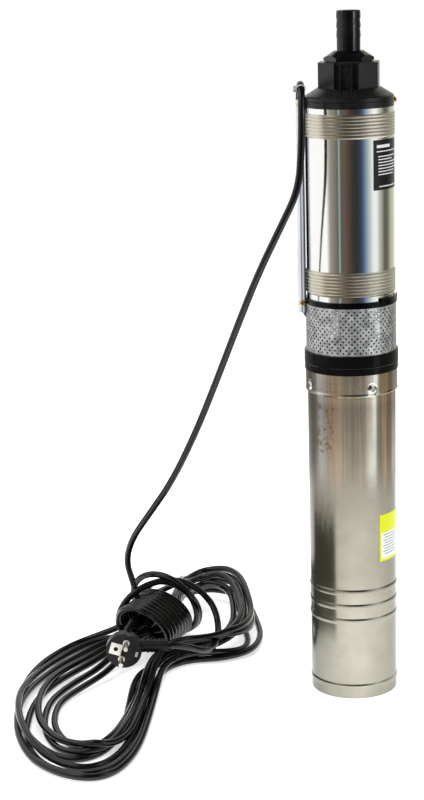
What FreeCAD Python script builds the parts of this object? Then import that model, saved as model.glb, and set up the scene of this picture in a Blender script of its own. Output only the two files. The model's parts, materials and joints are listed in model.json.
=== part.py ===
import FreeCAD, Part
import math
import os

# A 4 inch multistage borehole pump that stands on its motor, with its lead, hank and mains plug.
# Millimetres, +Z up, origin at the centre of the base; the camera side of the pump is -Y.

V = FreeCAD.Vector
up = V(0, 0, 1)
os.makedirs("parts", exist_ok=True)

# Fits
press_gap = 0.05        # between pieces that are pushed or screwed together
running_gap = 0.05      # radial, between a shaft and what it turns in
thread_gap = 0.1        # radial, between a spigot and the tube that it screws into
free_gap = 0.3          # between faces that must never rub

# Motor tube
motor_radius = 45.8
motor_wall = 1.0
motor_top = 353.3
collar_radius = 47.6
collar_height = 21.6
flare_length = 2.0
ridge_height = 0.4
bead_height = 0.9
bead_width = 7.0
clamp_bead_level = 86.2
clamp_bead_pitch = 16.1
clamp_bead_count = 3
foot_bead_level = 12.5

# Screws that hold the motor tube to its flange
tube_screw_count = 4
tube_screw_level = 338.0
tube_screw_turn = 22.0
tube_screw_radius = 2.4
tube_screw_length = 11.0
tube_screw_head_radius = 4.6
tube_screw_head_height = 2.1
dimple_depth = 0.6
dimple_flare = 2.2
cross_recess_share = 0.62
cross_recess_half = 0.11
cross_recess_depth = 0.55
screw_rim_share = 0.45
screw_crown_share = 0.55

# Motor end pieces
bottom_cap_height = 21.0
oil_plug_radius = 7.0
oil_plug_depth = 8.0
oil_plug_recess = 3.0
oil_plug_place = 24.0
capacitor_radius = 20.0
capacitor_height = 54.0
capacitor_stud_radius = 4.0
capacitor_stud_height = 6.0
housing_height = 40.0
housing_floor = 6.0
o_ring_radius = 1.6

# Motor bearings: bore, outside radius, width, ball radius
lower_bearing = {"bore": 7.5, "outside": 17.5, "width": 11.0, "ball": 3.0, "balls": 7}
upper_bearing = {"bore": 8.5, "outside": 20.0, "width": 12.0, "ball": 3.4, "balls": 7}
lower_bearing_rise = 29.3
upper_bearing_drop = 51.3

# Rotor and stator
stack_bottom_level = 150.0
winding_clearance = 8.3
crown_gap = 1.0
rotor_radius = 27.5
air_gap = 0.35
stator_slot_count = 18
stator_slot_depth = 9.0
stator_slot_width = 3.4
winding_crown_height = 24.0
end_ring_height = 8.0
core_shaft_radius = 9.0

# Motor flange, seal and gland
flange_depth = 58.0
flange_web = 9.0
flange_pocket_wall = 5.0
flange_pocket_taper = 3.0
flange_pocket_drop = 22.0
bracket_bore_depth = 24.0
seal_boss_radius = 24.0
seal_boss_height = 12.0
seal_radius = 13.0
seal_length = 9.0
seat_length = 6.0
seal_ring_height = 6.9
seal_ring_radius = 48.5
seal_ring_width = 6.1

# Inlet bracket and strainer
lower_ring_height = 13.1
lower_ring_radius = 48.7
upper_ring_height = 6.0
upper_ring_radius = 47.0
strainer_height = 48.9
strainer_radius = 46.7
strainer_wall = 0.8
strainer_land = 2.0
bracket_opening_radius = 29.0
ring_lip_height = 2.8
ring_lip_wall = 1.4
ring_lip_from = 36.0
ring_lip_to = 86.0
ring_lip_slot = 1.2
ring_lip_foot = 0.8
ring_lip_end = 4.0
bracket_post_count = 6
bracket_post_radius = 3.4
bracket_spigot_height = 33.8
bracket_screw_count = 4
bracket_screw_circle = 37.0
bracket_screw_radius = 2.5
bracket_screw_length = 34.0
bracket_screw_head_radius = 4.5
bracket_screw_head_height = 4.0
strainer_hole_columns = 26
strainer_hole_rows = 7
strainer_hole_width = 4.0
strainer_hole_margin = 6.0

# Pump tube with its rolled threads
pump_tube_length = 194.2
pump_tube_radius = 45.2
pump_tube_wall = 1.0
thread_crest_height = 0.9
thread_pitch = 3.4
thread_turns = 7
thread_margin = 5.5

# Stages
stage_count = 5
bowl_wall = 2.2
bowl_floor = 2.0
eye_radius = 17.6
diffuser_level = 12.6
diffuser_thickness = 1.5
diffuser_gap = 3.9
return_vane_count = 6
impeller_tip_gap = 6.9
impeller_level = 3.0
shroud_thickness = 1.5
impeller_width = 8.0
impeller_vane_count = 6
vane_thickness = 1.6
hub_radius = 8.6
neck_wall = 1.6

# Shafts
pump_shaft_radius = 6.0
motor_shaft_radius = 7.5
coupling_radius = 12.0
coupling_length = 42.0
shaft_nut_radius = 9.2
shaft_nut_height = 4.0
spider_height = 9.0
spider_arm_count = 4
spider_arm_width = 5.0
bush_wall = 3.0
bush_length = 10.0
bush_boss_wall = 3.0
shaft_tip = 2.0

# Discharge head
rim_radius = 45.2
rim_height = 11.3
rim_seam_level = 6.3
rim_seam_depth = 0.4
cone_height = 7.8
octagon_flats = 60.0
octagon_height = 24.9
octagon_turn = -9.5
recess_depth = 4.2
recess_width = 23.6
rib_width = 13.0
rib_foot_radius = 42.5
rib_wall = 1.5
rib_pocket_depth = 3.0
rib_top_wall = 1.6
recess_count = 2
head_spigot_height = 26.4
head_passage_radius = 36.0
outlet_thread_radius = 20.6
outlet_thread_depth = 19.5
valve_chamber_radius = 18.2
valve_seat_radius = 12.5
valve_seat_land = 3.0

# Check valve
valve_head_radius = 15.5
valve_head_height = 2.5
valve_washer_height = 1.5
valve_stem_radius = 2.5
valve_stem_length = 17.0
valve_guide_wall = 2.2
valve_guide_height = 7.0
spring_radius = 8.6
spring_wire_radius = 0.7
spring_turns = 4

# Hose barb
barb_washer_height = 1.0
barb_washer_radius = 23.5
hex_flats = 44.0
hex_height = 10.0
hex_land = 3.6
hex_crown_radius = 15.0
hex_turn = -4.5
barb_radius = 12.3
barb_root_radius = 11.7
barb_land_radius = 11.9
barb_land_height = 13.1
barb_count = 3
barb_pitch = 9.2
barb_crest_height = 2.4
barb_tip_height = 8.0
barb_bore_radius = 8.5
barb_thread_height = 18.0

# Lead, guard and its screws
cord_diameter = 7.4
lead_clearance = 0.3
guard_wall = 0.7
guard_width = 14.4
guard_bottom_level = 413.0
guard_over_rim = 8.0
lug_thickness = 4.4
lug_height = 5.2
guard_screw_radius = 1.5
guard_screw_length = 6.0
guard_screw_head_radius = 3.0
guard_screw_head_height = 2.0
lock_screw_radius = 2.0
lock_screw_length = 11.0
lock_screw_head_radius = 3.2
lock_screw_head_height = 2.6
gland_radius = 6.0
gland_height = 10.0
gland_taper_height = 6.0
gland_circle = 36.0
lead_bend_drop = 26.0
lead_exit_drop = 5.0
guard_way_depth = 20.0
clip_height = 1.8
clip_wall = 0.6
clip_head = V(3.0, 3.4, 6.4)

# Plug
plug_radius = 19.5
plug_face_depth = 12.0
plug_back_depth = 14.0
plug_back_radius = 11.0
plug_face_centre = V(-250.0, 8.0, 39.9)
plug_pin_radius = 2.4
plug_pin_length = 19.0
plug_pin_spacing = 19.0
plug_pin_collar_radius = 3.7
plug_pin_collar_height = 0.6
plug_notch_width = 4.6
plug_notch_depth = 1.6
plug_turn = 18.0
relief_length = 30.0
relief_radius = 7.5
relief_tip_radius = 5.4
relief_grip = 10.0
relief_rib_count = 6
relief_rib_pitch = 4.0
relief_rib_width = 2.0
relief_rib_height = 1.0
relief_rib_start = 5.5
earth_plate_size = 13.0
earth_plate_thickness = 2.0
earth_hole_radius = 2.5
earth_clip_width = 5.6
earth_clip_thickness = 2.8
earth_clip_place = 14.4
earth_clip_depth = 6.0

# Hank on the floor: three loops of cord tied by turns around their waist
front_loop = {"x": -291.0, "y": -92.0, "half_x": 82.0, "half_y": 145.0, "height": 20.0}
front_loop_hole = {"x": -278.0, "y": -78.0, "half_x": 28.0, "half_y": 72.0}
back_loop = {"x": -140.0, "y": 176.0, "half_x": 49.0, "half_y": 113.0, "height": 32.0}
back_loop_turn = 12.0
neck_corners = [(-352, 10), (-332, 96), (-284, 116), (-205, 66), (-214, 0)]
waist_front = V(-240.0, 68.0, 35.0)
waist_back = V(-197.0, 158.0, 35.0)
waist_radius = 34.0

# Levels that follow from the sizes above
bracket_bottom = motor_top + seal_ring_height
strainer_bottom = bracket_bottom + lower_ring_height
strainer_top = strainer_bottom + strainer_height
tube_bottom = strainer_top + upper_ring_height
tube_top = tube_bottom + pump_tube_length
stages_bottom = tube_bottom + bracket_spigot_height
stages_room = pump_tube_length - bracket_spigot_height - head_spigot_height - spider_height
stage_height = stages_room / stage_count
stages_top = stages_bottom + stage_count * stage_height
rim_top = tube_top + rim_height
cone_top = rim_top + cone_height
head_top = cone_top + octagon_height
barb_bottom = head_top + barb_washer_height
hex_top = barb_bottom + hex_height
barb_top = hex_top + barb_land_height + (barb_count - 1) * barb_pitch + barb_tip_height
motor_bore = motor_radius - motor_wall
collar_bore = collar_radius - motor_wall
collar_bottom = motor_top - collar_height
housing_bottom = clamp_bead_level - bead_width / 2 - 2.0
lower_bearing_level = housing_bottom + lower_bearing_rise
upper_bearing_level = motor_top - upper_bearing_drop
stack_top_level = motor_top - flange_depth - winding_clearance - winding_crown_height - crown_gap
seal_ring_bore = seal_ring_radius - seal_ring_width
pump_bore = pump_tube_radius - pump_tube_wall
bowl_radius = pump_bore - thread_gap
bowl_bore = bowl_radius - bowl_wall
diffuser_radius = bowl_bore - diffuser_gap
impeller_radius = bowl_bore - impeller_tip_gap
cord_radius = cord_diameter / 2
thread_crest_radius = pump_tube_radius + thread_crest_height
guard_edge_radius = thread_crest_radius + lead_clearance
lead_radius_place = guard_edge_radius + cord_radius
guard_face_radius = lead_radius_place + cord_radius + lead_clearance + guard_wall
guard_top = tube_top + guard_over_rim
guard_inside = guard_width / 2 - guard_wall
lead_offset = guard_inside - lead_clearance - cord_radius
seat_top = motor_top + seal_boss_height
hub_bore = pump_shaft_radius + press_gap


def at_angle(radius, degrees, z):
    """The point at a distance from the axis, turned anticlockwise from +X."""
    turn = math.radians(degrees)
    return V(radius * math.cos(turn), radius * math.sin(turn), z)


def disc(radius, bottom, top):
    return Part.makeCylinder(radius, top - bottom, V(0, 0, bottom))


def tube(outside, inside, bottom, top):
    return disc(outside, bottom, top).cut(disc(inside, bottom - 1, top + 1))


def turned(profile):
    """A solid turned about the pump's axis from (radius, height) corners."""
    corners = [V(r, 0, z) for r, z in profile]
    face = Part.Face(Part.makePolygon(corners + corners[:1]))
    return face.revolve(V(0, 0, 0), up, 360)


def prism(corners, bottom, top):
    """A solid pushed up from (x, y) corners."""
    points = [V(x, y, bottom) for x, y in corners]
    face = Part.Face(Part.makePolygon(points + points[:1]))
    return face.extrude(V(0, 0, top - bottom))


def polygon_bar(sides, flats, bottom, top, turn):
    """A regular bar of a given size across flats, with one flat facing the turn."""
    corner = flats / 2 / math.cos(math.pi / sides)
    first = turn + 180.0 / sides
    points = [at_angle(corner, first + 360.0 * i / sides, bottom) for i in range(sides)]
    return prism([(p.x, p.y) for p in points], bottom, top)


def block(low, high):
    size = high.sub(low)
    return Part.makeBox(size.x, size.y, size.z, low)


def spun(shape, degrees):
    copy = shape.copy()
    copy.rotate(V(0, 0, 0), up, degrees)
    return copy


def around(shape, count, first=0.0):
    """Copies of a shape, evenly round the axis."""
    return [spun(shape, first + 360.0 * i / count) for i in range(count)]


def joined(first, others):
    return first.multiFuse(others).removeSplitter()


def ring_bulges(radius, bottom, top, levels, half_width, height):
    """The (radius, height) line up a tube wall that has rolled bulges at some levels."""
    line = [(radius, bottom)]
    for level in levels:
        line.append((radius, level - half_width))
        line.append((radius + height * 0.8, level - half_width * 0.45))
        line.append((radius + height, level))
        line.append((radius + height * 0.8, level + half_width * 0.45))
        line.append((radius, level + half_width))
    line.append((radius, top))
    return line


def clamp_bead_levels():
    return [clamp_bead_level + clamp_bead_pitch * i for i in range(clamp_bead_count)]


def screw(tip, direction, radius, length, head_radius, head_height):
    """A dome-headed screw whose shank ends at the tip; the direction points to its head."""
    shank = Part.makeCylinder(radius, length)
    rim = head_height * screw_rim_share
    head = Part.makeCylinder(head_radius, rim, V(0, 0, length))
    crown_radius = head_radius * screw_crown_share
    dome = Part.makeCone(head_radius, crown_radius, head_height - rim, V(0, 0, length + rim))
    top = length + head_height
    arm = head_radius * cross_recess_share
    half = head_radius * cross_recess_half
    recess_floor = top - head_height * cross_recess_depth
    cross = block(V(-arm, -half, recess_floor), V(arm, half, top + 1))
    cross = cross.fuse(block(V(-half, -arm, recess_floor), V(half, arm, top + 1)))
    whole = joined(shank, [head, dome]).cut(cross)
    whole.rotate(V(0, 0, 0), V(0, 0, 1), 30)
    whole.Placement = FreeCAD.Placement(tip, FreeCAD.Rotation(up, direction)).multiply(whole.Placement)
    return whole


# Motor


def make_motor_tube():
    levels = [foot_bead_level] + clamp_bead_levels()
    half = bead_width / 2
    shoulder = collar_bottom - flare_length
    outside = ring_bulges(motor_radius, 0, shoulder, levels, half, bead_height)
    outside += [(collar_radius + ridge_height, collar_bottom)]
    outside += [(collar_radius, collar_bottom + flare_length), (collar_radius, motor_top)]
    inside = ring_bulges(motor_bore, 0, shoulder, levels, half, bead_height)
    inside += [(collar_bore, collar_bottom), (collar_bore, motor_top)]
    shell = turned(outside + inside[::-1])
    hole = tube_screw_radius + press_gap
    bores = [
        Part.makeCylinder(hole, 10, at_angle(collar_radius - 5, a, tube_screw_level), at_angle(1, a, 0))
        for a in tube_screw_angles()
    ]
    floor_radius = tube_screw_head_radius + free_gap
    bores += [
        Part.makeCone(floor_radius, floor_radius + dimple_flare * 2, dimple_depth * 2,
                      at_angle(collar_radius - dimple_depth, a, tube_screw_level), at_angle(1, a, 0))
        for a in tube_screw_angles()
    ]
    return shell.cut(Part.makeCompound(bores))


def tube_screw_angles():
    first = tube_screw_turn - 90
    return [first + 360.0 * i / tube_screw_count for i in range(tube_screw_count)]


def make_tube_screws():
    reach = collar_radius - dimple_depth - tube_screw_length
    return [
        screw(
            at_angle(reach, a, tube_screw_level),
            at_angle(1, a, 0),
            tube_screw_radius,
            tube_screw_length + press_gap,
            tube_screw_head_radius,
            tube_screw_head_height,
        )
        for a in tube_screw_angles()
    ]


def make_bottom_cap():
    radius = motor_bore - press_gap
    lip = foot_bead_level - bead_width / 2
    groove = 1.6
    profile = [
        (0, 0), (radius - 1.5, 0), (radius, 1.5), (radius, lip),
        (radius - groove, lip + groove), (radius - groove, lip + bead_width - groove),
        (radius, lip + bead_width), (radius, bottom_cap_height), (radius - 6, bottom_cap_height),
        (radius - 6, bottom_cap_height - 6), (0, bottom_cap_height - 6),
    ]
    place = V(oil_plug_place, 0, -1)
    recess = Part.makeCylinder(oil_plug_radius + 4, oil_plug_recess + 1, place)
    hole = Part.makeCylinder(oil_plug_radius + press_gap, bottom_cap_height, place)
    return turned(profile).cut(recess).cut(hole)


def make_oil_plug():
    head = polygon_bar(6, 2 * oil_plug_radius + 3, 0.6, oil_plug_recess - press_gap, 0)
    slot = block(V(-8, -1.0, 0), V(8, 1.0, 1.8))
    plug = joined(head, [disc(oil_plug_radius, 1, oil_plug_recess + oil_plug_depth)])
    plug = plug.cut(slot)
    plug.translate(V(oil_plug_place, 0, 0))
    return plug


def make_capacitor():
    base = bottom_cap_height - 6
    top = base + capacitor_height
    can = disc(capacitor_radius, base, top)
    rim = tube(capacitor_radius + 1.0, capacitor_radius - 1.5, top, top + 1.5)
    stud = disc(capacitor_stud_radius, top, top + capacitor_stud_height)
    return joined(can, [rim, stud])


def make_lower_bearing_housing():
    radius = motor_bore - press_gap
    bottom = housing_bottom
    top = bottom + housing_height
    seat_radius = lower_bearing["outside"] + press_gap
    seat_bottom = lower_bearing_level - lower_bearing["width"] / 2
    pocket = housing_floor + bottom
    profile = [
        (0, bottom), (radius, bottom), (radius, top), (radius - 7, top), (radius - 9, pocket),
        (seat_radius + 5, pocket), (seat_radius + 4, top - 4), (seat_radius, top - 4),
        (seat_radius, seat_bottom), (seat_radius - 4, seat_bottom), (seat_radius - 4, pocket),
        (0, pocket),
    ]
    casting = turned(profile)
    grooves = [
        tube(radius + 1, radius - 2 * o_ring_radius, z - o_ring_radius, z + o_ring_radius)
        for z in o_ring_levels()
    ]
    wire_way = Part.makeCylinder(3.0, housing_floor + 2, V(31, 0, bottom - 1))
    ribs = [
        block(V(seat_radius + 3, -1.5, pocket - 1), V(radius - 7.5, 1.5, top - 8))
    ]
    return joined(casting, around(ribs[0], 6, 30)).cut(Part.makeCompound(grooves + [wire_way]))


def o_ring_levels():
    beads = clamp_bead_levels()
    return [(beads[i] + beads[i + 1]) / 2 for i in range(len(beads) - 1)]


def make_housing_o_rings():
    place = motor_bore - press_gap - o_ring_radius
    return [Part.makeTorus(place, o_ring_radius - 0.05, V(0, 0, z)) for z in o_ring_levels()]


def bearing_places(bearing):
    inner_wall = bearing["bore"] + (bearing["outside"] - bearing["bore"]) * 0.27
    outer_wall = bearing["outside"] - (bearing["outside"] - bearing["bore"]) * 0.27
    return inner_wall, outer_wall, (inner_wall + outer_wall) / 2


def ball_track(bearing, level):
    """The ring-shaped space in which the balls run, with their running clearance."""
    pitch = bearing_places(bearing)[2]
    return Part.makeTorus(pitch, bearing["ball"] + running_gap, V(0, 0, level))


def make_bearing_outer(bearing, level):
    half = bearing["width"] / 2
    ring = tube(bearing["outside"], bearing_places(bearing)[1], level - half, level + half)
    return ring.cut(ball_track(bearing, level))


def make_bearing_inner(bearing, level):
    half = bearing["width"] / 2
    bore = bearing["bore"] + press_gap
    ring = tube(bearing_places(bearing)[0], bore, level - half, level + half)
    return ring.cut(ball_track(bearing, level))


def make_bearing_balls(bearing, level):
    """The balls, strung on the flat ring of their cage."""
    pitch = bearing_places(bearing)[2]
    ball = Part.makeSphere(bearing["ball"], V(pitch, 0, level))
    cage = tube(pitch + 0.9, pitch - 0.9, level - 0.9, level + 0.9)
    return joined(cage, around(ball, bearing["balls"]))


def stator_bore():
    return rotor_radius + air_gap


def slot_bar(clearance):
    inner = stator_bore() + 3.0
    half = stator_slot_width / 2 - clearance
    low = V(inner + clearance, -half, stack_bottom_level - crown_gap)
    high = V(inner + stator_slot_depth - clearance, half, stack_top_level + crown_gap)
    return block(low, high)


def make_stator_core():
    top = stack_top_level
    core = tube(motor_bore - press_gap, stator_bore(), stack_bottom_level, top)
    return core.cut(Part.makeCompound(around(slot_bar(0), stator_slot_count)))


def make_stator_windings():
    top = stack_top_level
    inner = stator_bore() + 3.0 + press_gap
    outer = inner + stator_slot_depth - 2 * press_gap
    crowns = []
    for start, way in ((top + crown_gap, 1), (stack_bottom_level - crown_gap, -1)):
        rise = winding_crown_height * way
        crowns.append(
            turned([
                (inner, start), (outer, start), (outer + 2, start + rise * 0.25),
                (outer + 1, start + rise * 0.8), (outer - 2, start + rise),
                (inner + 2, start + rise), (inner, start + rise * 0.7),
            ])
        )
    return joined(crowns[0], [crowns[1]] + around(slot_bar(press_gap), stator_slot_count))


def make_rotor_core():
    top = stack_top_level
    bore = core_shaft_radius + press_gap
    core = tube(rotor_radius, bore, stack_bottom_level, top)
    rings = [
        tube(rotor_radius - 0.6, rotor_radius - 11, top, top + end_ring_height),
        tube(rotor_radius - 0.6, rotor_radius - 11, stack_bottom_level - end_ring_height, stack_bottom_level),
    ]
    return joined(core, rings)


def make_motor_shaft():
    """Stepped: lower journal, core seat, upper journal, then the drive end in the coupling."""
    lower_end = lower_bearing_level - lower_bearing["width"] / 2 - 2
    core_bottom = stack_bottom_level - end_ring_height - 2
    core_top = stack_top_level + end_ring_height + 2
    upper_end = upper_bearing_level + upper_bearing["width"] / 2 + 2
    drive_end = coupling_middle() - 0.5
    profile = [
        (0, lower_end), (motor_shaft_radius - 1, lower_end), (motor_shaft_radius, lower_end + 1),
        (motor_shaft_radius, core_bottom), (core_shaft_radius, core_bottom),
        (core_shaft_radius, core_top), (upper_bearing["bore"], core_top),
        (upper_bearing["bore"], upper_end), (motor_shaft_radius, upper_end),
        (motor_shaft_radius, drive_end), (0, drive_end),
    ]
    return turned(profile)


def make_motor_flange():
    """The casting that closes the motor: tube socket, bearing seat, seal housing and screw holes."""
    radius = motor_bore - press_gap
    socket = collar_bore - press_gap
    bottom = motor_top - flange_depth
    seat = upper_bearing["outside"] + press_gap
    seat_top_level = upper_bearing_level + upper_bearing["width"] / 2
    web_top = seat_top_level + flange_web
    profile = [
        (seat, bottom), (radius, bottom), (radius, collar_bottom - flare_length),
        (socket, collar_bottom + 0.5), (socket, motor_top), (seal_boss_radius, motor_top),
        (seal_boss_radius, seat_top), (seal_radius + press_gap, seat_top),
        (seal_radius + press_gap, web_top), (motor_shaft_radius + 1.5, web_top),
        (motor_shaft_radius + 1.5, seat_top_level), (seat, seat_top_level),
    ]
    hole = tube_screw_radius + press_gap
    reach = collar_radius - dimple_depth - tube_screw_length - 0.5
    bores = [
        Part.makeCylinder(
            hole, tube_screw_length + 3, at_angle(reach, a, tube_screw_level), at_angle(1, a, 0)
        )
        for a in tube_screw_angles()
    ]
    screw_hole = bracket_screw_radius + press_gap
    bores += [
        Part.makeCylinder(screw_hole, bracket_bore_depth + 6,
                          at_angle(bracket_screw_circle, a, motor_top - bracket_bore_depth))
        for a in bracket_screw_angles()
    ]
    bores.append(Part.makeCylinder(cord_radius + press_gap, flange_depth, lead_start(bottom)))
    pocket_top = tube_screw_level - flange_pocket_drop
    outer_wall = radius - flange_pocket_wall
    inner_wall = seat + flange_pocket_wall
    pocket = turned([
        (inner_wall, bottom - 1), (outer_wall, bottom - 1), (outer_wall - flange_pocket_taper, pocket_top),
        (inner_wall + flange_pocket_taper, pocket_top),
    ])
    return turned(profile).cut(pocket).cut(Part.makeCompound(bores))


def bracket_screw_angles():
    return [45 + 360.0 * i / bracket_screw_count for i in range(bracket_screw_count)]


def seal_seat_bottom():
    return seat_top - seat_length


def make_seal_seat():
    inside = motor_shaft_radius + 1.2
    return tube(seal_radius, inside, seal_seat_bottom(), seat_top)


def make_shaft_seal():
    """The turning half of the shaft seal, above the fixed seat."""
    bottom = seat_top + press_gap
    profile = [
        (motor_shaft_radius + press_gap, bottom), (seal_radius - 2, bottom),
        (seal_radius - 2, bottom + 3), (seal_radius, bottom + 4), (seal_radius, bottom + seal_length),
        (motor_shaft_radius + press_gap, bottom + seal_length),
    ]
    return turned(profile)


def make_bracket_seal_ring():
    profile = [
        (seal_ring_bore, motor_top), (seal_ring_radius, motor_top),
        (seal_ring_radius, bracket_bottom - 0.8), (seal_ring_radius - 0.5, bracket_bottom),
        (seal_ring_bore, bracket_bottom),
    ]
    return turned(profile)


# Inlet bracket and strainer


def lead_start(z):
    return V(-gland_circle, lead_offset, z)


def bracket_floor():
    ring = [
        (bracket_opening_radius, bracket_bottom), (lower_ring_radius - 0.4, bracket_bottom),
        (lower_ring_radius, bracket_bottom + 0.6), (lower_ring_radius, strainer_bottom - 0.6),
        (lower_ring_radius - 0.6, strainer_bottom), (strainer_seat(), strainer_bottom),
        (strainer_seat(), strainer_bottom + strainer_land),
        (bracket_opening_radius, strainer_bottom + strainer_land),
    ]
    foot = seal_ring_bore - press_gap
    spigot = tube(foot, seal_boss_radius + 1.0, motor_top + free_gap, bracket_bottom)
    return joined(turned(ring), [spigot])


def strainer_seat():
    return strainer_radius - strainer_wall - press_gap


def make_inlet_bracket():
    """Lower ring, posts, upper ring and the spigot that screws into the pump tube."""
    top = stages_bottom
    spigot = [
        (bracket_opening_radius, strainer_top - strainer_land),
        (strainer_seat(), strainer_top - strainer_land),
        (strainer_seat(), strainer_top), (upper_ring_radius - 0.5, strainer_top),
        (upper_ring_radius, strainer_top + 0.5), (upper_ring_radius, tube_bottom - 0.5),
        (upper_ring_radius - 0.5, tube_bottom), (pump_bore - thread_gap, tube_bottom),
        (pump_bore - thread_gap, top), (bracket_opening_radius + 6, top),
        (bracket_opening_radius, top - 12),
    ]
    post_place = strainer_seat() - bracket_post_radius - 1.5
    post_height = strainer_height - strainer_land
    post = Part.makeCylinder(bracket_post_radius, post_height, V(post_place, 0, strainer_bottom + 1))
    posts = around(post, bracket_post_count, 180.0 / bracket_post_count)
    lug = guard_lug(strainer_top - 2.0)
    body = joined(bracket_floor(), [turned(spigot), lug, make_ring_lip()] + posts)
    screw_hole = bracket_screw_radius + press_gap
    holes = [
        Part.makeCylinder(screw_hole, 60, at_angle(bracket_screw_circle, a, motor_top - 1))
        for a in bracket_screw_angles()
    ]
    holes.append(Part.makeCylinder(gland_radius + press_gap, 60, lead_start(motor_top - 1)))
    holes.append(guard_screw_hole(strainer_top - 2.0))
    holes = [h.common(disc(60, motor_top - 1, strainer_top + 1)) for h in holes[:-1]] + holes[-1:]
    body = body.cut(Part.makeCompound(holes))
    body = body.cut(lead_way())
    return body


def make_ring_lip():
    """A slotted eye that stands up from the upper ring, clear of the pump tube's threads."""
    inside = thread_crest_radius + free_gap
    outside = inside + ring_lip_wall
    top = tube_bottom + ring_lip_height
    wall = tube(outside, inside, strainer_top + 1, top)
    slot_bottom = tube_bottom + ring_lip_foot
    slot = tube(outside + 1, inside - 1, slot_bottom, slot_bottom + ring_lip_slot)
    slot = sector(slot, ring_lip_from + ring_lip_end, ring_lip_to - ring_lip_end)
    return sector(wall, ring_lip_from, ring_lip_to).cut(slot)


def sector(shape, first, last):
    """What lies between two angles; 0 faces the front (-Y) and angles grow towards +X."""
    far = 80.0
    middle = (first + last) / 2
    angles = [first - 90, middle - 90, last - 90]
    turns = [math.radians(a) for a in angles]
    corners = [(0, 0)] + [(far * math.cos(t), far * math.sin(t)) for t in turns]
    box = shape.BoundBox
    return shape.common(prism(corners, box.ZMin - 1, box.ZMax + 1))


def lead_way():
    """The notch through which the lead leaves the strainer and runs up under its guard."""
    half = cord_radius + lead_clearance
    low = lead_offset - half
    high = lead_offset + half
    outer = -guard_face_radius - 2
    inner = 0.6 - guard_edge_radius
    slot = prism(
        [(outer, low), (inner, low), (inner, high), (outer, high)],
        strainer_top - 1, tube_bottom + 1,
    )
    run_up = block(
        V(-upper_ring_radius - 12, low, strainer_top - strainer_land - lead_bend_drop),
        V(-gland_circle + half, high, strainer_top + 1),
    )
    return slot.fuse(run_up)


def make_strainer():
    """A rolled sleeve, pierced in staggered rows."""
    bottom = strainer_bottom + press_gap
    top = strainer_top - press_gap
    sleeve = tube(strainer_radius, strainer_radius - strainer_wall, bottom, top)
    row_pitch = (strainer_height - 2 * strainer_hole_margin) / (strainer_hole_rows - 1)
    half = strainer_hole_width / 2
    corners = [V(40, -half, 0), V(40, 0, half), V(40, half, 0), V(40, 0, -half)]
    pin = Part.Face(Part.makePolygon(corners + corners[:1])).extrude(V(15, 0, 0))
    pins = []
    for row in range(strainer_hole_rows):
        lifted = pin.copy()
        lifted.translate(V(0, 0, strainer_bottom + strainer_hole_margin + row_pitch * row))
        pins += around(lifted, strainer_hole_columns, 180.0 / strainer_hole_columns * (row % 2))
    half_way = cord_radius + lead_clearance
    notch = block(
        V(-strainer_radius - 2, lead_offset - half_way, strainer_top - lead_exit_drop - 14),
        V(-strainer_radius + 4, lead_offset + half_way, strainer_top + 1),
    )
    lug_way = block(
        V(-strainer_radius - 2, -guard_inside - 1, strainer_top - 3),
        V(-strainer_radius + 4, lead_offset, strainer_top + 1),
    )
    return sleeve.cut(Part.makeCompound(pins)).cut(notch).cut(lug_way)


def make_bracket_screws():
    top = strainer_bottom + strainer_land
    return [
        screw(
            at_angle(bracket_screw_circle, a, top - bracket_screw_length),
            up,
            bracket_screw_radius,
            bracket_screw_length + press_gap,
            bracket_screw_head_radius,
            bracket_screw_head_height,
        )
        for a in bracket_screw_angles()
    ]


# Pump tube and stages


def thread_levels(start):
    return [start + thread_pitch * (i + 0.5) for i in range(thread_turns)]


def make_pump_tube():
    rolled = thread_pitch * thread_turns
    low = tube_bottom + thread_margin
    high = tube_top - thread_margin - rolled
    outside = [(pump_tube_radius, tube_bottom)]
    for start in (low, high):
        for level in thread_levels(start):
            outside.append((pump_tube_radius, level - thread_pitch / 2))
            outside.append((thread_crest_radius, level - thread_pitch * 0.15))
            outside.append((thread_crest_radius, level + thread_pitch * 0.15))
        outside.append((pump_tube_radius, start + rolled))
    outside.append((pump_tube_radius, tube_top))
    return turned(outside + [(pump_bore, tube_top), (pump_bore, tube_bottom)])


def curved_vane(inner, outer, sweep, bottom, top):
    """A blade between two radii whose foot leads its tip by the sweep, in degrees."""
    middle = (inner + outer) / 2
    thick = math.degrees(vane_thickness / middle)
    bend = sweep * 0.42
    near = [
        at_angle(inner, 0, bottom), at_angle(middle, -bend, bottom),
        at_angle(outer, -sweep, bottom),
    ]
    far = [
        at_angle(inner, thick, bottom), at_angle(middle, thick - bend, bottom),
        at_angle(outer, thick - sweep, bottom),
    ]
    edges = [
        Part.Arc(*near).toShape(),
        Part.LineSegment(near[2], far[2]).toShape(),
        Part.Arc(*far[::-1]).toShape(),
        Part.LineSegment(far[0], near[0]).toShape(),
    ]
    return Part.Face(Part.Wire(edges)).extrude(V(0, 0, top - bottom))


def make_bowl(bottom):
    """One diffuser: shell, floor with the suction eye, and the disc and vanes that turn the flow inwards."""
    top = bottom + stage_height
    disc_bottom = bottom + diffuser_level
    disc_top = disc_bottom + diffuser_thickness
    hub_hole = hub_radius + free_gap
    shell = tube(bowl_radius, bowl_bore, bottom, top)
    floor = tube(bowl_radius - 1, eye_radius, bottom, bottom + bowl_floor)
    plate = tube(diffuser_radius, hub_hole, disc_bottom, disc_top)
    vane = curved_vane(eye_radius, bowl_bore + 0.5, 42, disc_top - 0.5, top)
    return joined(shell, [floor, plate] + around(vane, return_vane_count))


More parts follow.
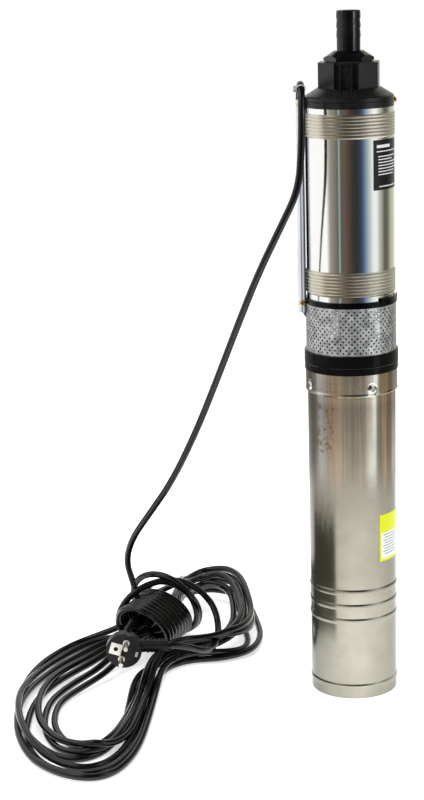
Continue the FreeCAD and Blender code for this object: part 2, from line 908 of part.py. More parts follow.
def make_impeller(bottom):
    """A closed impeller on its hub sleeve."""
    foot = bottom + impeller_level
    crown = foot + impeller_width
    neck_outside = eye_radius - free_gap
    neck_inside = neck_outside - neck_wall
    front = tube(impeller_radius, neck_inside, foot, foot + shroud_thickness)
    neck = tube(neck_outside, neck_inside, foot - 2.2, foot)
    back = tube(impeller_radius, hub_bore, crown - shroud_thickness, crown)
    hub = tube(hub_radius, hub_bore, bottom + 1.5, bottom + stage_height + 1.4)
    vane = curved_vane(neck_inside + 1, impeller_radius - 0.4, 55, foot + 0.5, crown - 0.5)
    return joined(front, [neck, back, hub] + around(vane, impeller_vane_count))


def nut_bottom():
    return stages_top + 1.5


def bush_bottom():
    return nut_bottom() + shaft_nut_height + 1.5


def make_shaft_nut():
    top = nut_bottom() + shaft_nut_height
    flats = 2 * shaft_nut_radius * math.cos(math.pi / 6)
    return polygon_bar(6, flats, nut_bottom(), top, 0).cut(disc(hub_bore, nut_bottom() - 1, top + 1))


def make_bearing_spider():
    """The open spider above the last stage that steadies the top of the shaft."""
    bottom = stages_top
    top = bottom + spider_height
    boss_radius = pump_shaft_radius + running_gap + bush_wall + press_gap + bush_boss_wall
    rim = tube(bowl_radius, bowl_radius - 5, bottom, top)
    boss = disc(boss_radius, bush_bottom(), bush_bottom() + bush_length)
    arm = block(
        V(boss_radius - 2, -spider_arm_width / 2, bush_bottom()),
        V(bowl_radius - 3, spider_arm_width / 2, top),
    )
    seat = disc(boss_radius - bush_boss_wall, bush_bottom() - 1, bush_bottom() + bush_length + 1)
    return joined(rim, [boss] + around(arm, spider_arm_count, 45)).cut(seat)


def make_top_bush():
    bore = pump_shaft_radius + running_gap
    return tube(bore + bush_wall, bore, bush_bottom(), bush_bottom() + bush_length)


def coupling_middle():
    return coupling_bottom() + coupling_length / 2


def coupling_bottom():
    return seat_top + press_gap + seal_length + 1.0


def make_pump_shaft():
    top = bush_bottom() + bush_length + shaft_tip
    bottom = coupling_middle() + 0.5
    return turned([
        (0, bottom), (pump_shaft_radius, bottom), (pump_shaft_radius, top - 0.8),
        (pump_shaft_radius - 0.8, top), (0, top),
    ])


def make_shaft_coupling():
    bottom = coupling_bottom()
    top = bottom + coupling_length
    body = tube(coupling_radius, pump_shaft_radius + press_gap, bottom, top)
    socket = disc(motor_shaft_radius + press_gap, bottom - 1, coupling_middle())
    screw_hole = Part.makeCylinder(2.0, coupling_radius + 2, V(0, 0, bottom + 8), V(0, -1, 0))
    return body.cut(socket).cut(screw_hole)


# Discharge head, valve and hose barb


def rib_profile():
    flat = octagon_flats / 2
    return [
        (outlet_thread_radius + 3, head_top), (flat - 0.4, head_top), (flat + 1.2, cone_top + 6),
        (rib_foot_radius, rim_top), (outlet_thread_radius + 3, rim_top),
    ]


def make_rib():
    """A rib in its recess, cored from the front so that a thin frame stands round it."""
    corners = [V(r, -rib_width / 2, z) for r, z in rib_profile()]
    rib = Part.Face(Part.makePolygon(corners + corners[:1])).extrude(V(0, rib_width, 0))
    half = rib_width / 2 - rib_wall
    core_back = octagon_flats / 2 - rib_pocket_depth
    core = block(
        V(core_back, -half, rim_top + rib_top_wall),
        V(rib_foot_radius + 5, half, head_top - rib_top_wall),
    )
    return rib.cut(core)


def make_discharge_head():
    """Screwed spigot, rim, cone and octagon, with a ribbed recess in its front and back faces."""
    corner = octagon_flats / 2 / math.cos(math.pi / 8)
    spigot_bottom = tube_top - head_spigot_height
    seam = tube_top + rim_seam_level
    skirt = [
        (0, spigot_bottom), (pump_bore - thread_gap, spigot_bottom),
        (pump_bore - thread_gap, tube_top), (rim_radius, tube_top), (rim_radius, seam - rim_seam_depth),
        (rim_radius - rim_seam_depth, seam), (rim_radius, seam + rim_seam_depth),
        (rim_radius, rim_top - 1.2), (rim_radius - 1.2, rim_top), (corner, cone_top - 0.6),
        (corner - 1.5, cone_top), (0, cone_top),
    ]
    octagon = polygon_bar(8, octagon_flats, cone_top - 1, head_top, octagon_turn - 90)
    floor = octagon_flats / 2 - recess_depth
    recess = block(V(floor, -recess_width / 2, cone_top), V(corner + 5, recess_width / 2, head_top + 1))
    recesses = around(recess, recess_count, octagon_turn + 90)
    ribs = around(make_rib(), recess_count, octagon_turn + 90)
    body = turned(skirt).fuse(octagon).cut(Part.makeCompound(recesses))
    lug = guard_lug(tube_top + free_gap)
    body = joined(body, ribs + [lug])
    body = body.cut(head_passage()).cut(guard_screw_hole(tube_top + free_gap)).cut(lock_screw_hole())
    return joined(body, [valve_guide()])


def seat_level():
    return rim_top - valve_seat_land


def head_passage():
    bottom = tube_top - head_spigot_height
    seat = seat_level()
    thread_floor = head_top - outlet_thread_depth
    return turned([
        (0, bottom - 1), (head_passage_radius, bottom - 1), (head_passage_radius, bottom + 14),
        (valve_seat_radius + 6, seat - 9), (valve_seat_radius, seat - 3), (valve_seat_radius, seat),
        (valve_chamber_radius, seat), (valve_chamber_radius, thread_floor),
        (outlet_thread_radius, thread_floor), (outlet_thread_radius, head_top + 1), (0, head_top + 1),
    ])


def valve_guide():
    bottom = seat_level() - 14
    radius = valve_stem_radius + running_gap
    boss = tube(radius + valve_guide_wall, radius, bottom, bottom + valve_guide_height)
    arm = block(V(radius + 1, -1.2, bottom), V(head_passage_radius - 2, 1.2, bottom + 4))
    keep = disc(pump_bore - 3, bottom - 1, bottom + 30)
    return boss.multiFuse([a.common(keep) for a in around(arm, 3, 30)])


def make_check_valve():
    washer_top = seat_level() + valve_washer_height
    stem_bottom = washer_top - valve_stem_length
    head = disc(valve_head_radius, washer_top, washer_top + valve_head_height)
    stem = disc(valve_stem_radius, stem_bottom, washer_top)
    boss = disc(spring_radius - spring_wire_radius - 0.6, washer_top, washer_top + valve_head_height + 2)
    return joined(head, [stem, boss])


def make_valve_washer():
    bottom = seat_level()
    return tube(valve_head_radius, valve_stem_radius + press_gap, bottom, bottom + valve_washer_height)


def make_valve_spring():
    """Closed coils between the valve and the barb's spigot."""
    bottom = seat_level() + valve_washer_height + valve_head_height + spring_wire_radius + press_gap
    top = spring_fixed_end() - spring_wire_radius - press_gap
    pitch = (top - bottom) / spring_turns
    rings = [Part.makeTorus(spring_radius, spring_wire_radius, V(0, 0, bottom + pitch * i))
             for i in range(spring_turns + 1)]
    half = pitch / 2
    struts = []
    for i in range(spring_turns):
        side = 1 if i % 2 else -1
        foot = V(side * spring_radius, 0, bottom + pitch * i)
        struts.append(Part.makeCylinder(spring_wire_radius * 0.8, 2 * half, foot))
    return rings[0].multiFuse(rings[1:] + struts)


def spring_fixed_end():
    return barb_bottom - barb_thread_height


def make_barb_washer():
    return tube(barb_washer_radius, outlet_thread_radius + press_gap, head_top, barb_bottom)


def barb_line():
    """The (radius, height) line up the outside of the hose spigot."""
    line = [(barb_land_radius, hex_top - 1), (barb_land_radius, hex_top + barb_land_height)]
    for i in range(barb_count):
        crest = hex_top + barb_land_height + barb_pitch * i
        line.append((barb_radius, crest))
        line.append((barb_radius, crest + barb_crest_height))
        if i < barb_count - 1:
            line.append((barb_root_radius, crest + barb_pitch))
    line.append((barb_radius - 0.2, barb_top - 1.0))
    line.append((barb_radius - 0.9, barb_top))
    return line


def make_hose_barb():
    """Hexagonal flange with a turned crown, screwed spigot below and ridged hose spigot above."""
    hexagon = polygon_bar(6, hex_flats, barb_bottom, hex_top, hex_turn - 90)
    corner = hex_flats / 2 / math.cos(math.pi / 6)
    crown = turned([
        (0, barb_bottom), (corner - 0.8, barb_bottom), (corner, barb_bottom + 0.8),
        (corner, barb_bottom + hex_land - 0.6), (corner - 3, barb_bottom + hex_land + 1.6),
        (hex_crown_radius, hex_top), (0, hex_top),
    ])
    spigot = turned([(0, hex_top - 1)] + barb_line() + [(0, barb_top)])
    thread = disc(outlet_thread_radius - thread_gap, spring_fixed_end(), barb_bottom + 1)
    body = joined(hexagon.common(crown), [spigot, thread])
    return body.cut(disc(barb_bore_radius, spring_fixed_end() - 1, barb_top + 1))


# Guard, lead and the screws beside it


def guard_lug(bottom):
    """A lug inside the guard's front wall that takes the guard's screw."""
    return block(
        V(-guard_face_radius + guard_wall + press_gap, -guard_inside + press_gap, bottom),
        V(-upper_ring_radius + 5, -guard_inside + press_gap + lug_thickness, bottom + lug_height),
    )


def guard_screw_place(lug_bottom):
    x = -(guard_edge_radius + guard_face_radius) / 2
    return V(x, -guard_width / 2, lug_bottom + lug_height / 2)


def guard_screw_hole(lug_bottom):
    place = guard_screw_place(lug_bottom)
    return Part.makeCylinder(guard_screw_radius + press_gap, guard_screw_length, place, V(0, 1, 0))


def lug_bottoms():
    return [strainer_top - 2.0, tube_top + free_gap]


def make_cable_guard():
    """A channel of thin strip over the lead, open towards the pump."""
    outside = block(
        V(-guard_face_radius, -guard_width / 2, guard_bottom_level),
        V(-guard_edge_radius, guard_width / 2, guard_top),
    )
    channel = block(
        V(-guard_face_radius + guard_wall, -guard_inside, guard_bottom_level - 1),
        V(-guard_edge_radius + 1, guard_inside, guard_top + 1),
    )
    face_edges = [e for e in outside.Edges if abs(e.CenterOfMass.x + guard_face_radius) < 0.01]
    edges = [e for e in face_edges if e.Length > guard_width]
    strip = outside.makeFillet(guard_wall * 0.9, edges).cut(channel)
    ring_inside = upper_ring_radius - guard_way_depth
    ring_way = tube(upper_ring_radius + free_gap, ring_inside, strainer_top - free_gap, tube_bottom + free_gap)
    holes = [guard_screw_hole(b) for b in lug_bottoms()]
    return strip.cut(Part.makeCompound(holes)).cut(ring_way)


def make_guard_screws():
    inward = V(0, -1, 0)
    length = guard_screw_length - 1.0
    return [
        screw(
            guard_screw_place(b) + V(0, length, 0), inward, guard_screw_radius,
            length + press_gap, guard_screw_head_radius, guard_screw_head_height,
        )
        for b in lug_bottoms()
    ]


def lock_screw_level():
    return tube_top + rim_seam_level - 1.5


def lock_screw_hole():
    reach = rim_radius - lock_screw_length
    return Part.makeCylinder(lock_screw_radius + press_gap, 30, V(reach, 0, lock_screw_level()), V(1, 0, 0))


def make_head_lock_screw():
    tip = V(rim_radius - lock_screw_length + 0.5, 0, lock_screw_level())
    length = lock_screw_length - 0.5 + press_gap
    return screw(tip, V(1, 0, 0), lock_screw_radius, length, lock_screw_head_radius, lock_screw_head_height)


def make_cable_gland():
    bottom = motor_top + press_gap
    start = lead_start(bottom)
    body = Part.makeCylinder(gland_radius, gland_height, start)
    taper = Part.makeCone(
        gland_radius, cord_radius + 1.2, gland_taper_height, start + V(0, 0, gland_height)
    )
    bore = Part.makeCylinder(cord_radius + press_gap, gland_height + 12, start - V(0, 0, 1))
    return joined(body, [taper]).cut(bore)


def route_wire(points):
    """Straight runs through the points, joined by tangent arcs, and the arcs' radii."""
    edges = []
    radii = []
    start = points[0]
    for i in range(1, len(points) - 1):
        back = points[i - 1] - points[i]
        ahead = points[i + 1] - points[i]
        shorter = min(back.Length, ahead.Length)
        back.normalize()
        ahead.normalize()
        half_turn = (math.pi - back.getAngle(ahead)) / 2
        reach = 0.45 * shorter
        radius = reach / math.tan(half_turn)
        enter = points[i] + back * reach
        leave = points[i] + ahead * reach
        inward = back + ahead
        inward.normalize()
        middle = points[i] + inward * (radius / math.cos(half_turn) - radius)
        edges.append(Part.LineSegment(start, enter).toShape())
        edges.append(Part.Arc(enter, middle, leave).toShape())
        radii.append(radius)
        start = leave
    edges.append(Part.LineSegment(start, points[-1]).toShape())
    return Part.Wire(edges), radii


def make_cord(name, points):
    """A round cord along a route, with its radii and volume printed."""
    wire, radii = route_wire(points)
    section = Part.Wire(Part.makeCircle(cord_radius, points[0], points[1] - points[0]))
    cord = wire.makePipeShell([section], True, False)
    ideal = math.pi * cord_radius ** 2 * wire.Length
    print(name, "length", round(wire.Length, 1), "volume ratio", round(cord.Volume / ideal, 4))
    print(name, "radii", [round(r, 1) for r in radii])
    return cord


def lead_route():
    place = -lead_radius_place
    return [
        V(-gland_circle, lead_offset, motor_top - 20),
        V(-gland_circle, lead_offset, strainer_top - lead_bend_drop),
        V(place, lead_offset, strainer_top - lead_exit_drop),
        V(place, lead_offset, guard_top - 22),
    ]


def cord_route():
    """Out of the guard, over in a tight fold, down beside the pump and across to the hank."""
    place = -lead_radius_place
    return [
        V(place, lead_offset, guard_top - 22),
        V(place, lead_offset, 636.2),
        V(place, lead_offset - 24.2, 650.2),
        V(place, lead_offset - 48.4, 636.2),
        V(place - 0.8, -47.0, 590.0),
        V(place - 4.1, -46.0, 546.0),
        V(-71.5, -42.0, 510.0),
        V(-96.2, -30.0, 458.4),
        V(-118.5, -12.0, 400.5),
        V(-139.4, 8.0, 343.4),
        V(-163.3, 30.0, 280.7),
        V(-191.8, 58.0, 216.8),
        V(-220.6, 82.0, 170.5),
        V(-240.9, 102.0, 137.0),
        V(-249.2, 116.0, 106.5),
        V(-238.0, 122.0, 52.0),
    ]


def relief_tip():
    return plug_face_centre + V(plug_radius + relief_length - 1.5, 14.0, 0)


def tail_route():
    """From the plug's strain relief, round the end of the waist and over it into the hank."""
    tip = relief_tip()
    return [
        tip - V(relief_grip, 0, 0),
        V(-188.0, 22.0, 39.9),
        V(-160.0, 38.0, 25.0),
        V(-146.0, 68.0, 18.0),
        V(-142.0, 102.0, 26.0),
        V(-152.0, 128.0, 50.0),
        V(-182.0, 132.0, 76.0),
        V(-218.0, 120.0, 80.0),
        V(-244.0, 104.0, 70.0),
        V(-258.0, 88.0, 44.0),
    ]


def make_cord_clip():
    """A nylon tie round the cord where it comes down from its fold."""
    apex, foot = cord_route()[2:4]
    centre = (apex + foot) / 2
    along = foot - apex
    along.normalize()
    inside = cord_radius + lead_clearance
    band = tube(inside + clip_wall, inside, -clip_height / 2, clip_height / 2)
    reach = V(-inside - clip_wall - clip_head.x, -clip_head.y / 2, -clip_head.z / 2)
    head = Part.makeBox(clip_head.x + clip_wall / 2, clip_head.y, clip_head.z, reach)
    clip = joined(band, [head])
    clip.Placement = FreeCAD.Placement(centre, FreeCAD.Rotation(up, along))
    return clip


# Hank and plug


def flat_loop(loop, bottom, turn=0.0):
    ellipse = Part.Ellipse(V(0, 0, bottom), loop["half_y"], loop["half_x"])
    face = Part.Face(Part.Wire(ellipse.toShape()))
    face.rotate(V(0, 0, 0), up, 90 + turn)
    face.translate(V(loop["x"], loop["y"], 0))
    return face


def make_cord_hank():
    """The outer shape of the hank: front loop, waist with its turns, and back loop."""
    front = flat_loop(front_loop, 0).extrude(V(0, 0, front_loop["height"]))
    hole = flat_loop(front_loop_hole, -1).extrude(V(0, 0, front_loop["height"] + 2))
    back = flat_loop(back_loop, 0, back_loop_turn).extrude(V(0, 0, back_loop["height"]))
    neck = prism(neck_corners, 0, front_loop["height"])
    axis = waist_back - waist_front
    waist = Part.makeCylinder(waist_radius, axis.Length, waist_front, axis)
    return joined(front, [neck, back, waist]).cut(hole)


def face_turned(shape):
    """Turns a piece drawn on the plug's face by the plug's own turn, then puts it in place."""
    copy = shape.copy()
    copy.rotate(V(0, 0, 0), V(0, 1, 0), plug_turn)
    copy.translate(plug_face_centre)
    return copy


def make_plug_body():
    towards_back = V(0, 1, 0)
    disc_body = Part.makeCylinder(plug_radius, plug_face_depth, V(0, 0, 0), towards_back)
    face_back = V(0, plug_face_depth, 0)
    back = Part.makeCone(plug_radius, plug_back_radius, plug_back_depth, face_back, towards_back)
    body = face_turned(disc_body.fuse(back))
    relief_start = plug_face_centre + V(plug_radius - 8, 14.0, 0)
    relief_whole = relief_length + 6.5
    relief = Part.makeCone(relief_radius, relief_tip_radius, relief_whole, relief_start, V(1, 0, 0))
    holes = [plug_pin(s, press_gap) for s in (-1, 1)]
    holes.append(face_turned(earth_plate(press_gap)))
    holes.append(face_turned(earth_clip(press_gap)))
    first_rib = relief_start + V(8 + relief_rib_start, 0, 0)
    ribs = []
    for i in range(relief_rib_count):
        place = first_rib + V(relief_rib_pitch * i, 0, 0)
        share = (place.x - relief_start.x) / relief_whole
        rib_radius = relief_radius + (relief_tip_radius - relief_radius) * share + relief_rib_height
        ribs.append(Part.makeCylinder(rib_radius, relief_rib_width, place, V(1, 0, 0)))
    shape = joined(body, [relief] + ribs)
    half_notch = plug_notch_width / 2
    notch_floor = plug_radius - plug_notch_depth
    notch = block(V(-half_notch, -1, notch_floor), V(half_notch, plug_face_depth + 1, plug_radius + 1))
    shape = shape.cut(face_turned(notch))
    bore = Part.makeCylinder(
        cord_radius + press_gap, relief_grip + 1, relief_tip() - V(relief_grip, 0, 0), V(1, 0, 0)
    )
    return shape.cut(Part.makeCompound(holes)).cut(bore)


def plug_pin(side, clearance):
    """One pin with its collar on the plug's face, along -Y, enlarged by a clearance for its hole."""
    pin = Part.makeCylinder(
        plug_pin_radius + clearance, plug_pin_length + 6, V(0, 6, side * plug_pin_spacing / 2), V(0, -1, 0)
    )
    if clearance == 0:
        seat = V(0, -press_gap, side * plug_pin_spacing / 2)
        pin = pin.fuse(Part.makeCylinder(plug_pin_collar_radius, plug_pin_collar_height, seat, V(0, -1, 0)))
    return face_turned(pin)


def earth_plate(clearance):
    half = earth_plate_size / 2 + clearance
    centre = -9.0
    return block(
        V(centre - half, -0.6, -half), V(centre + half, earth_plate_thickness + clearance, half)
    )


def earth_clip(clearance):
    """The sprung contact beside the rim, sunk in the face and just proud of it."""
    half = earth_clip_width / 2 + clearance
    half_thick = earth_clip_thickness / 2 + clearance
    return block(
        V(earth_clip_place - half_thick, -0.5, -half),
        V(earth_clip_place + half_thick, earth_clip_depth + clearance, half),
    )


def make_plug_contacts():
    hole = Part.makeCylinder(earth_hole_radius, 6, V(-9.0, -2, 0), V(0, 1, 0))
    pieces = [plug_pin(s, 0) for s in (-1, 1)]
    pieces.append(face_turned(earth_plate(0).cut(hole)))
    pieces.append(face_turned(earth_clip(0)))
    return pieces


def write(name, shapes):
    """One file per piece; a list is a group of separate solids."""
    solids = shapes if isinstance(shapes, list) else [shapes]
    for solid in solids:
        if not solid.isValid() or solid.Volume <= 0:
            print("bad solid in", name)
    shape = solids[0] if len(solids) == 1 else Part.makeCompound(solids)
    shape.exportStep("parts/" + name + ".step")


write("motor_tube", make_motor_tube())
write("tube_screws", make_tube_screws())
write("bottom_cap", make_bottom_cap())
write("oil_plug", make_oil_plug())
write("capacitor", make_capacitor())
write("lower_bearing_housing", make_lower_bearing_housing())
write("housing_o_rings", make_housing_o_rings())
write("lower_bearing_outer", make_bearing_outer(lower_bearing, lower_bearing_level))
write("lower_bearing_inner", make_bearing_inner(lower_bearing, lower_bearing_level))
write("lower_bearing_balls", make_bearing_balls(lower_bearing, lower_bearing_level))
write("upper_bearing_outer", make_bearing_outer(upper_bearing, upper_bearing_level))
write("upper_bearing_inner", make_bearing_inner(upper_bearing, upper_bearing_level))
write("upper_bearing_balls", make_bearing_balls(upper_bearing, upper_bearing_level))
write("stator_core", make_stator_core())
write("stator_windings", make_stator_windings())
write("rotor_core", make_rotor_core())
write("motor_shaft", make_motor_shaft())
write("motor_flange", make_motor_flange())
write("seal_seat", make_seal_seat())
write("shaft_seal", make_shaft_seal())
write("bracket_seal_ring", make_bracket_seal_ring())
write("inlet_bracket", make_inlet_bracket())
write("bracket_screws", make_bracket_screws())
write("strainer", make_strainer())
write("pump_tube", make_pump_tube())
for stage in range(stage_count):
    base = stages_bottom + stage * stage_height
    write("stage_%d_bowl" % (stage + 1), make_bowl(base))
    write("stage_%d_impeller" % (stage + 1), make_impeller(base))
write("bearing_spider", make_bearing_spider())
write("top_bush", make_top_bush())
write("shaft_nut", make_shaft_nut())
write("pump_shaft", make_pump_shaft())
write("shaft_coupling", make_shaft_coupling())
write("discharge_head", make_discharge_head())
write("check_valve", make_check_valve())
write("valve_washer", make_valve_washer())
write("valve_spring", make_valve_spring())
write("barb_washer", make_barb_washer())
write("hose_barb", make_hose_barb())
write("head_lock_screw", make_head_lock_screw())
write("cable_guard", make_cable_guard())
write("guard_screws", make_guard_screws())
write("cable_gland", make_cable_gland())
write("guarded_lead", make_cord("guarded_lead", lead_route()))
write("power_cord", make_cord("power_cord", cord_route()))
write("cord_clip", make_cord_clip())
write("cord_hank", make_cord_hank())
write("cord_tail", make_cord("cord_tail", tail_route()))
write("plug_body", make_plug_body())
write("plug_contacts", make_plug_contacts())
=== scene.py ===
import bpy
import json
import math
from mathutils import Vector, Matrix

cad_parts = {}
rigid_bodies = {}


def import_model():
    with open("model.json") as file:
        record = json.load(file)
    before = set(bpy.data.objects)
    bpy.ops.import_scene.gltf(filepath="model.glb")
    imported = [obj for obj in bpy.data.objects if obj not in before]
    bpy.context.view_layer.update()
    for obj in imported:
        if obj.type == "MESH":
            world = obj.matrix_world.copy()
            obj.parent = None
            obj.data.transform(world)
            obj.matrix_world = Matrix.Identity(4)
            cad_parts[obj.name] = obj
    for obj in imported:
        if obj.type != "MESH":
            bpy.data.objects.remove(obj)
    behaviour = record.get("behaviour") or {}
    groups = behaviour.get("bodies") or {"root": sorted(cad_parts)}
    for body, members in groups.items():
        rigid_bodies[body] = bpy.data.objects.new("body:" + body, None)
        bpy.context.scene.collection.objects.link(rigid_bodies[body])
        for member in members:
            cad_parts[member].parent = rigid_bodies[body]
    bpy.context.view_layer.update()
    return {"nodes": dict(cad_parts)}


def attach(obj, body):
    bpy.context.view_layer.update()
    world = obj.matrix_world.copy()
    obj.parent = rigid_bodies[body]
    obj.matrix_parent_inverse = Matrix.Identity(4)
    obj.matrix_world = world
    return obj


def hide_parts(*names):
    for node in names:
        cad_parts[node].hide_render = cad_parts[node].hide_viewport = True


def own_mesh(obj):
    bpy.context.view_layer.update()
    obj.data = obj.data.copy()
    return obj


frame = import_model()
scene = bpy.context.scene
nodes = frame["nodes"]
mm = 0.001

# Submersible borehole pump with its hanked lead, in metres, +Z up, seen from -Y


# small helpers used all over


def linkNew(name, data):
    piece = bpy.data.objects.new(name, data)
    scene.collection.objects.link(piece)
    return piece


def onlySelect(piece):
    bpy.ops.object.select_all(action="DESELECT")
    piece.select_set(True)
    bpy.context.view_layer.objects.active = piece


def inMetres(values):
    return [v * mm for v in values]


def roundBody(radius, angle, z):
    # a point at a distance from the pump's axis; angle 0 faces the camera and grows towards +X
    turn = math.radians(angle)
    return Vector((radius * math.sin(turn), -radius * math.cos(turn), z))


# camera

view = {
    "place": (-0.1464, -1.868, 0.7865),
    "tiltDown": 14.0,
    "roll": -1.6,
    "lens": 82.7,
    "sensor": 36.0,
    "farthest": 50.0,
}


def makeCamera():
    data = bpy.data.cameras.new("studioCamera")
    data.lens = view["lens"]
    data.sensor_width = view["sensor"]
    data.clip_end = view["farthest"]
    camera = linkNew("studioCamera", data)
    aim = Matrix.Rotation(math.radians(90.0 - view["tiltDown"]), 4, "X")
    roll = Matrix.Rotation(math.radians(view["roll"]), 4, "Z")
    camera.matrix_world = Matrix.Translation(view["place"]) @ aim @ roll
    scene.camera = camera
    print("camera ready")


makeCamera()


# cord: out of the guard, down to the hank, its folds and turns, and the tail to the plug

cord = {
    "diameter": 7.4,
    "exit": (-50.1, 2.5, 608.4),
    "bevelSteps": 4,
    "curveSteps": 6,
    # the waist of the hank: its axis, the tight turns round it and the loose ones behind them;
    # the first turn starts at a place along the axis and an angle
    "waistFront": (-240.0, 68.0, 35.0),
    "waistBack": (-197.0, 158.0, 35.0),
    "turnPoints": 14,
    "waistTurns": 8,
    "turnRadius": 30.0,
    "turnLean": 19.0,
    "firstTurn": (94.0, -195.0),
    "pitch": 7.9,
    "looseTurns": 2,
    "looseRadius": 54.0,
    "looseSpread": 0.62,
    # the folds: how many, and where they pass through the waist, by radius, angle and shares of its length;
    # those that lie far out on the left leave it sooner, and the last point lies behind the first turn
    "folds": 7,
    "passRadii": (20.0, 12.0),
    "passFrom": 100.0,
    "passShares": [0.8, 0.45, 0.1],
    "soonShares": [0.75, 0.42],
    "soonFrom": 0.4,
    "lastPass": (126.0, 30.0, -175.0),
    "softSteps": 3,
    # a fold comes down from a height to the lowest one, by a rate for each point
    "lowest": 4.0,
    "frontDrop": (16.0, 1.1),
    "backDrop": (22.0, 0.9),
    "liftSkew": 0.72,
    # what lies on the floor keeps a gap and is stacked up to a limit, but not within reach of the waist
    "gap": 0.2,
    "stackLimit": 30.0,
    "waistReach": 52.0,
    "nearPoints": 12,  # neighbours along the cord that it doesn't heed
}

# the route down from the guard, as in the solids
fallingRoute = [
    (-50.1, 2.5, 608.4),
    (-50.1, 2.5, 636.2),
    (-50.1, -21.7, 650.2),
    (-50.1, -45.9, 636.2),
    (-50.9, -47.0, 590.0),
    (-54.2, -46.0, 546.0),
    (-71.5, -42.0, 510.0),
    (-96.2, -30.0, 458.4),
    (-118.5, -12.0, 400.5),
    (-139.4, 8.0, 343.4),
    (-163.3, 30.0, 280.7),
    (-191.8, 58.0, 216.8),
    (-220.6, 82.0, 170.5),
    (-240.9, 102.0, 137.0),
    (-249.2, 116.0, 106.5),
    (-236.0, 118.0, 56.0),
]

# the tail, from the hank over the waist to the plug's strain relief
tailRoute = [
    (-263.0, 98.0, 42.0),
    (-248.0, 106.0, 68.0),
    (-218.0, 120.0, 80.0),
    (-182.0, 132.0, 76.0),
    (-152.0, 128.0, 50.0),
    (-145.0, 101.0, 28.0),
    (-151.0, 65.0, 20.0),
    (-160.0, 38.0, 25.0),
    (-188.0, 22.0, 39.9),
    (-210.5, 22.0, 39.9),
]

# outlines of the front loops, inner and outer, from the left of the waist round to its right
frontInner = [(-250, 54), (-270, 20), (-296, -12), (-317, -46), (-319, -94), (-309, -130), (-292, -156),
              (-271, -152), (-256, -122), (-250, -76), (-247, -32), (-244, 4), (-236, 36)]
frontOuter = [(-276, 116), (-318, 108), (-354, 58), (-369, -16), (-368, -84), (-358, -148), (-330, -202),
              (-288, -234), (-251, -224), (-229, -168), (-219, -84), (-213, -22), (-210, 22)]
# the same for the back loops, from the far end of the waist round to where they pass beside it
backInner = [(-190, 180), (-186, 206), (-170, 220), (-150, 208), (-142, 180), (-140, 152), (-142, 124),
             (-156, 106), (-176, 98), (-196, 82), (-212, 60)]
backOuter = [(-190, 200), (-188, 252), (-160, 282), (-128, 272), (-105, 230), (-97, 176), (-90, 122),
             (-102, 78), (-138, 60), (-174, 64), (-200, 50)]
# how far out each fold lies on its left, at its foot and on its right
frontFan = [(0.36, 0.90, 0.86), (1.0, 0.58, 0.10), (0.66, 1.0, 0.98), (0.02, 0.06, 0.36),
            (0.84, 0.76, 0.62), (0.18, 0.34, 0.48), (0.52, 0.20, 0.74)]
# the same for the back loops, at their far end and beside the waist
backFan = [(0.95, 0.84), (0.45, 0.12), (0.05, 0.96), (0.76, 0.36), (0.22, 0.62), (1.0, 0.48), (0.6, 0.74)]
# how far each back loop, being stiff, stands up off the floor where it is highest
backLift = [6.0, 30.0, 0.0, 38.0, 14.0, 24.0, 46.0]


def waistFrame():
    start = Vector(cord["waistFront"])
    along = Vector(cord["waistBack"]) - start
    length = along.length
    along.normalize()
    side = along.cross(Vector((0, 0, 1))).normalized()
    up = side.cross(along).normalized()
    return start, along, side, up, length


def waistPoint(distance, radius, degrees):
    start, along, side, up, length = waistFrame()
    turn = math.radians(degrees)
    return start + along * distance + side * (radius * math.cos(turn)) + up * (radius * math.sin(turn))


def between(inner, outer, share):
    return inner + (outer - inner) * share


def dropped(k, drop):
    # the height of point k of a fold
    height, rate = drop
    return cord["lowest"] + height * math.exp(-k * rate)


def frontFold(i):
    # one fold round the front: left side, foot, right side
    left, foot, right = frontFan[i]
    last = len(frontInner) - 1
    points = []
    for k, (a, b) in enumerate(zip(frontInner, frontOuter)):
        mix = 2 * k / last
        share = between(left, foot, mix * mix) if mix <= 1 else between(foot, right, 1 - (2 - mix) ** 2)
        z = dropped(k, cord["frontDrop"])
        points.append(Vector((between(a[0], b[0], share), between(a[1], b[1], share), z)))
    return points


def backFold(i):
    # one fold round the back, from beside the waist to its far end
    far, beside = backFan[i]
    last = len(backInner) - 1
    points = []
    for k, (a, b) in enumerate(zip(backInner, backOuter)):
        share = between(far, beside, k / last)
        # the lift is highest behind the waist and gone where the fold comes back beside it
        standing = math.sin(math.pi * (k / last) ** cord["liftSkew"]) ** 2
        z = dropped(k, cord["backDrop"]) + backLift[i] * standing
        points.append(Vector((between(a[0], b[0], share), between(a[1], b[1], share), z)))
    return points[::-1]


def softened(points, steps):
    # the curve that a chain of points pulls towards, at even steps between the middles of its legs
    line = []
    for a, b, c in zip(points, points[1:], points[2:]):
        first = (a + b) / 2
        last = (b + c) / 2
        for k in range(steps):
            t = k / steps
            line.append(first * (1 - t) ** 2 + b * (2 * t * (1 - t)) + last * t ** 2)
    return line


def laidOver(line):
    # every stretch that lies on the floor rests on the stretches laid before it
    rise = [0.0] * len(line)
    gap = cord["diameter"] + cord["gap"]
    middle = (Vector(cord["waistFront"]) + Vector(cord["waistBack"])) / 2
    for i, p in enumerate(line):
        if (p - middle).length < cord["waistReach"]:
            continue
        for k in range(i - cord["nearPoints"]):
            q = line[k]
            away = math.hypot(p.x - q.x, p.y - q.y)
            if away < gap:
                rise[i] = max(rise[i], q.z + rise[k] + math.sqrt(gap * gap - away * away) - p.z)
    # the rise is widened and evened out along the line, so that the cord bends gently
    wide = [max(rise[max(0, i - 1):i + 2]) for i in range(len(line))]
    soft = [sum(wide[max(0, i - 2):i + 3]) / len(wide[max(0, i - 2):i + 3]) for i in range(len(line))]
    return [p + Vector((0.0, 0.0, min(h, cord["stackLimit"]))) for p, h in zip(line, soft)]


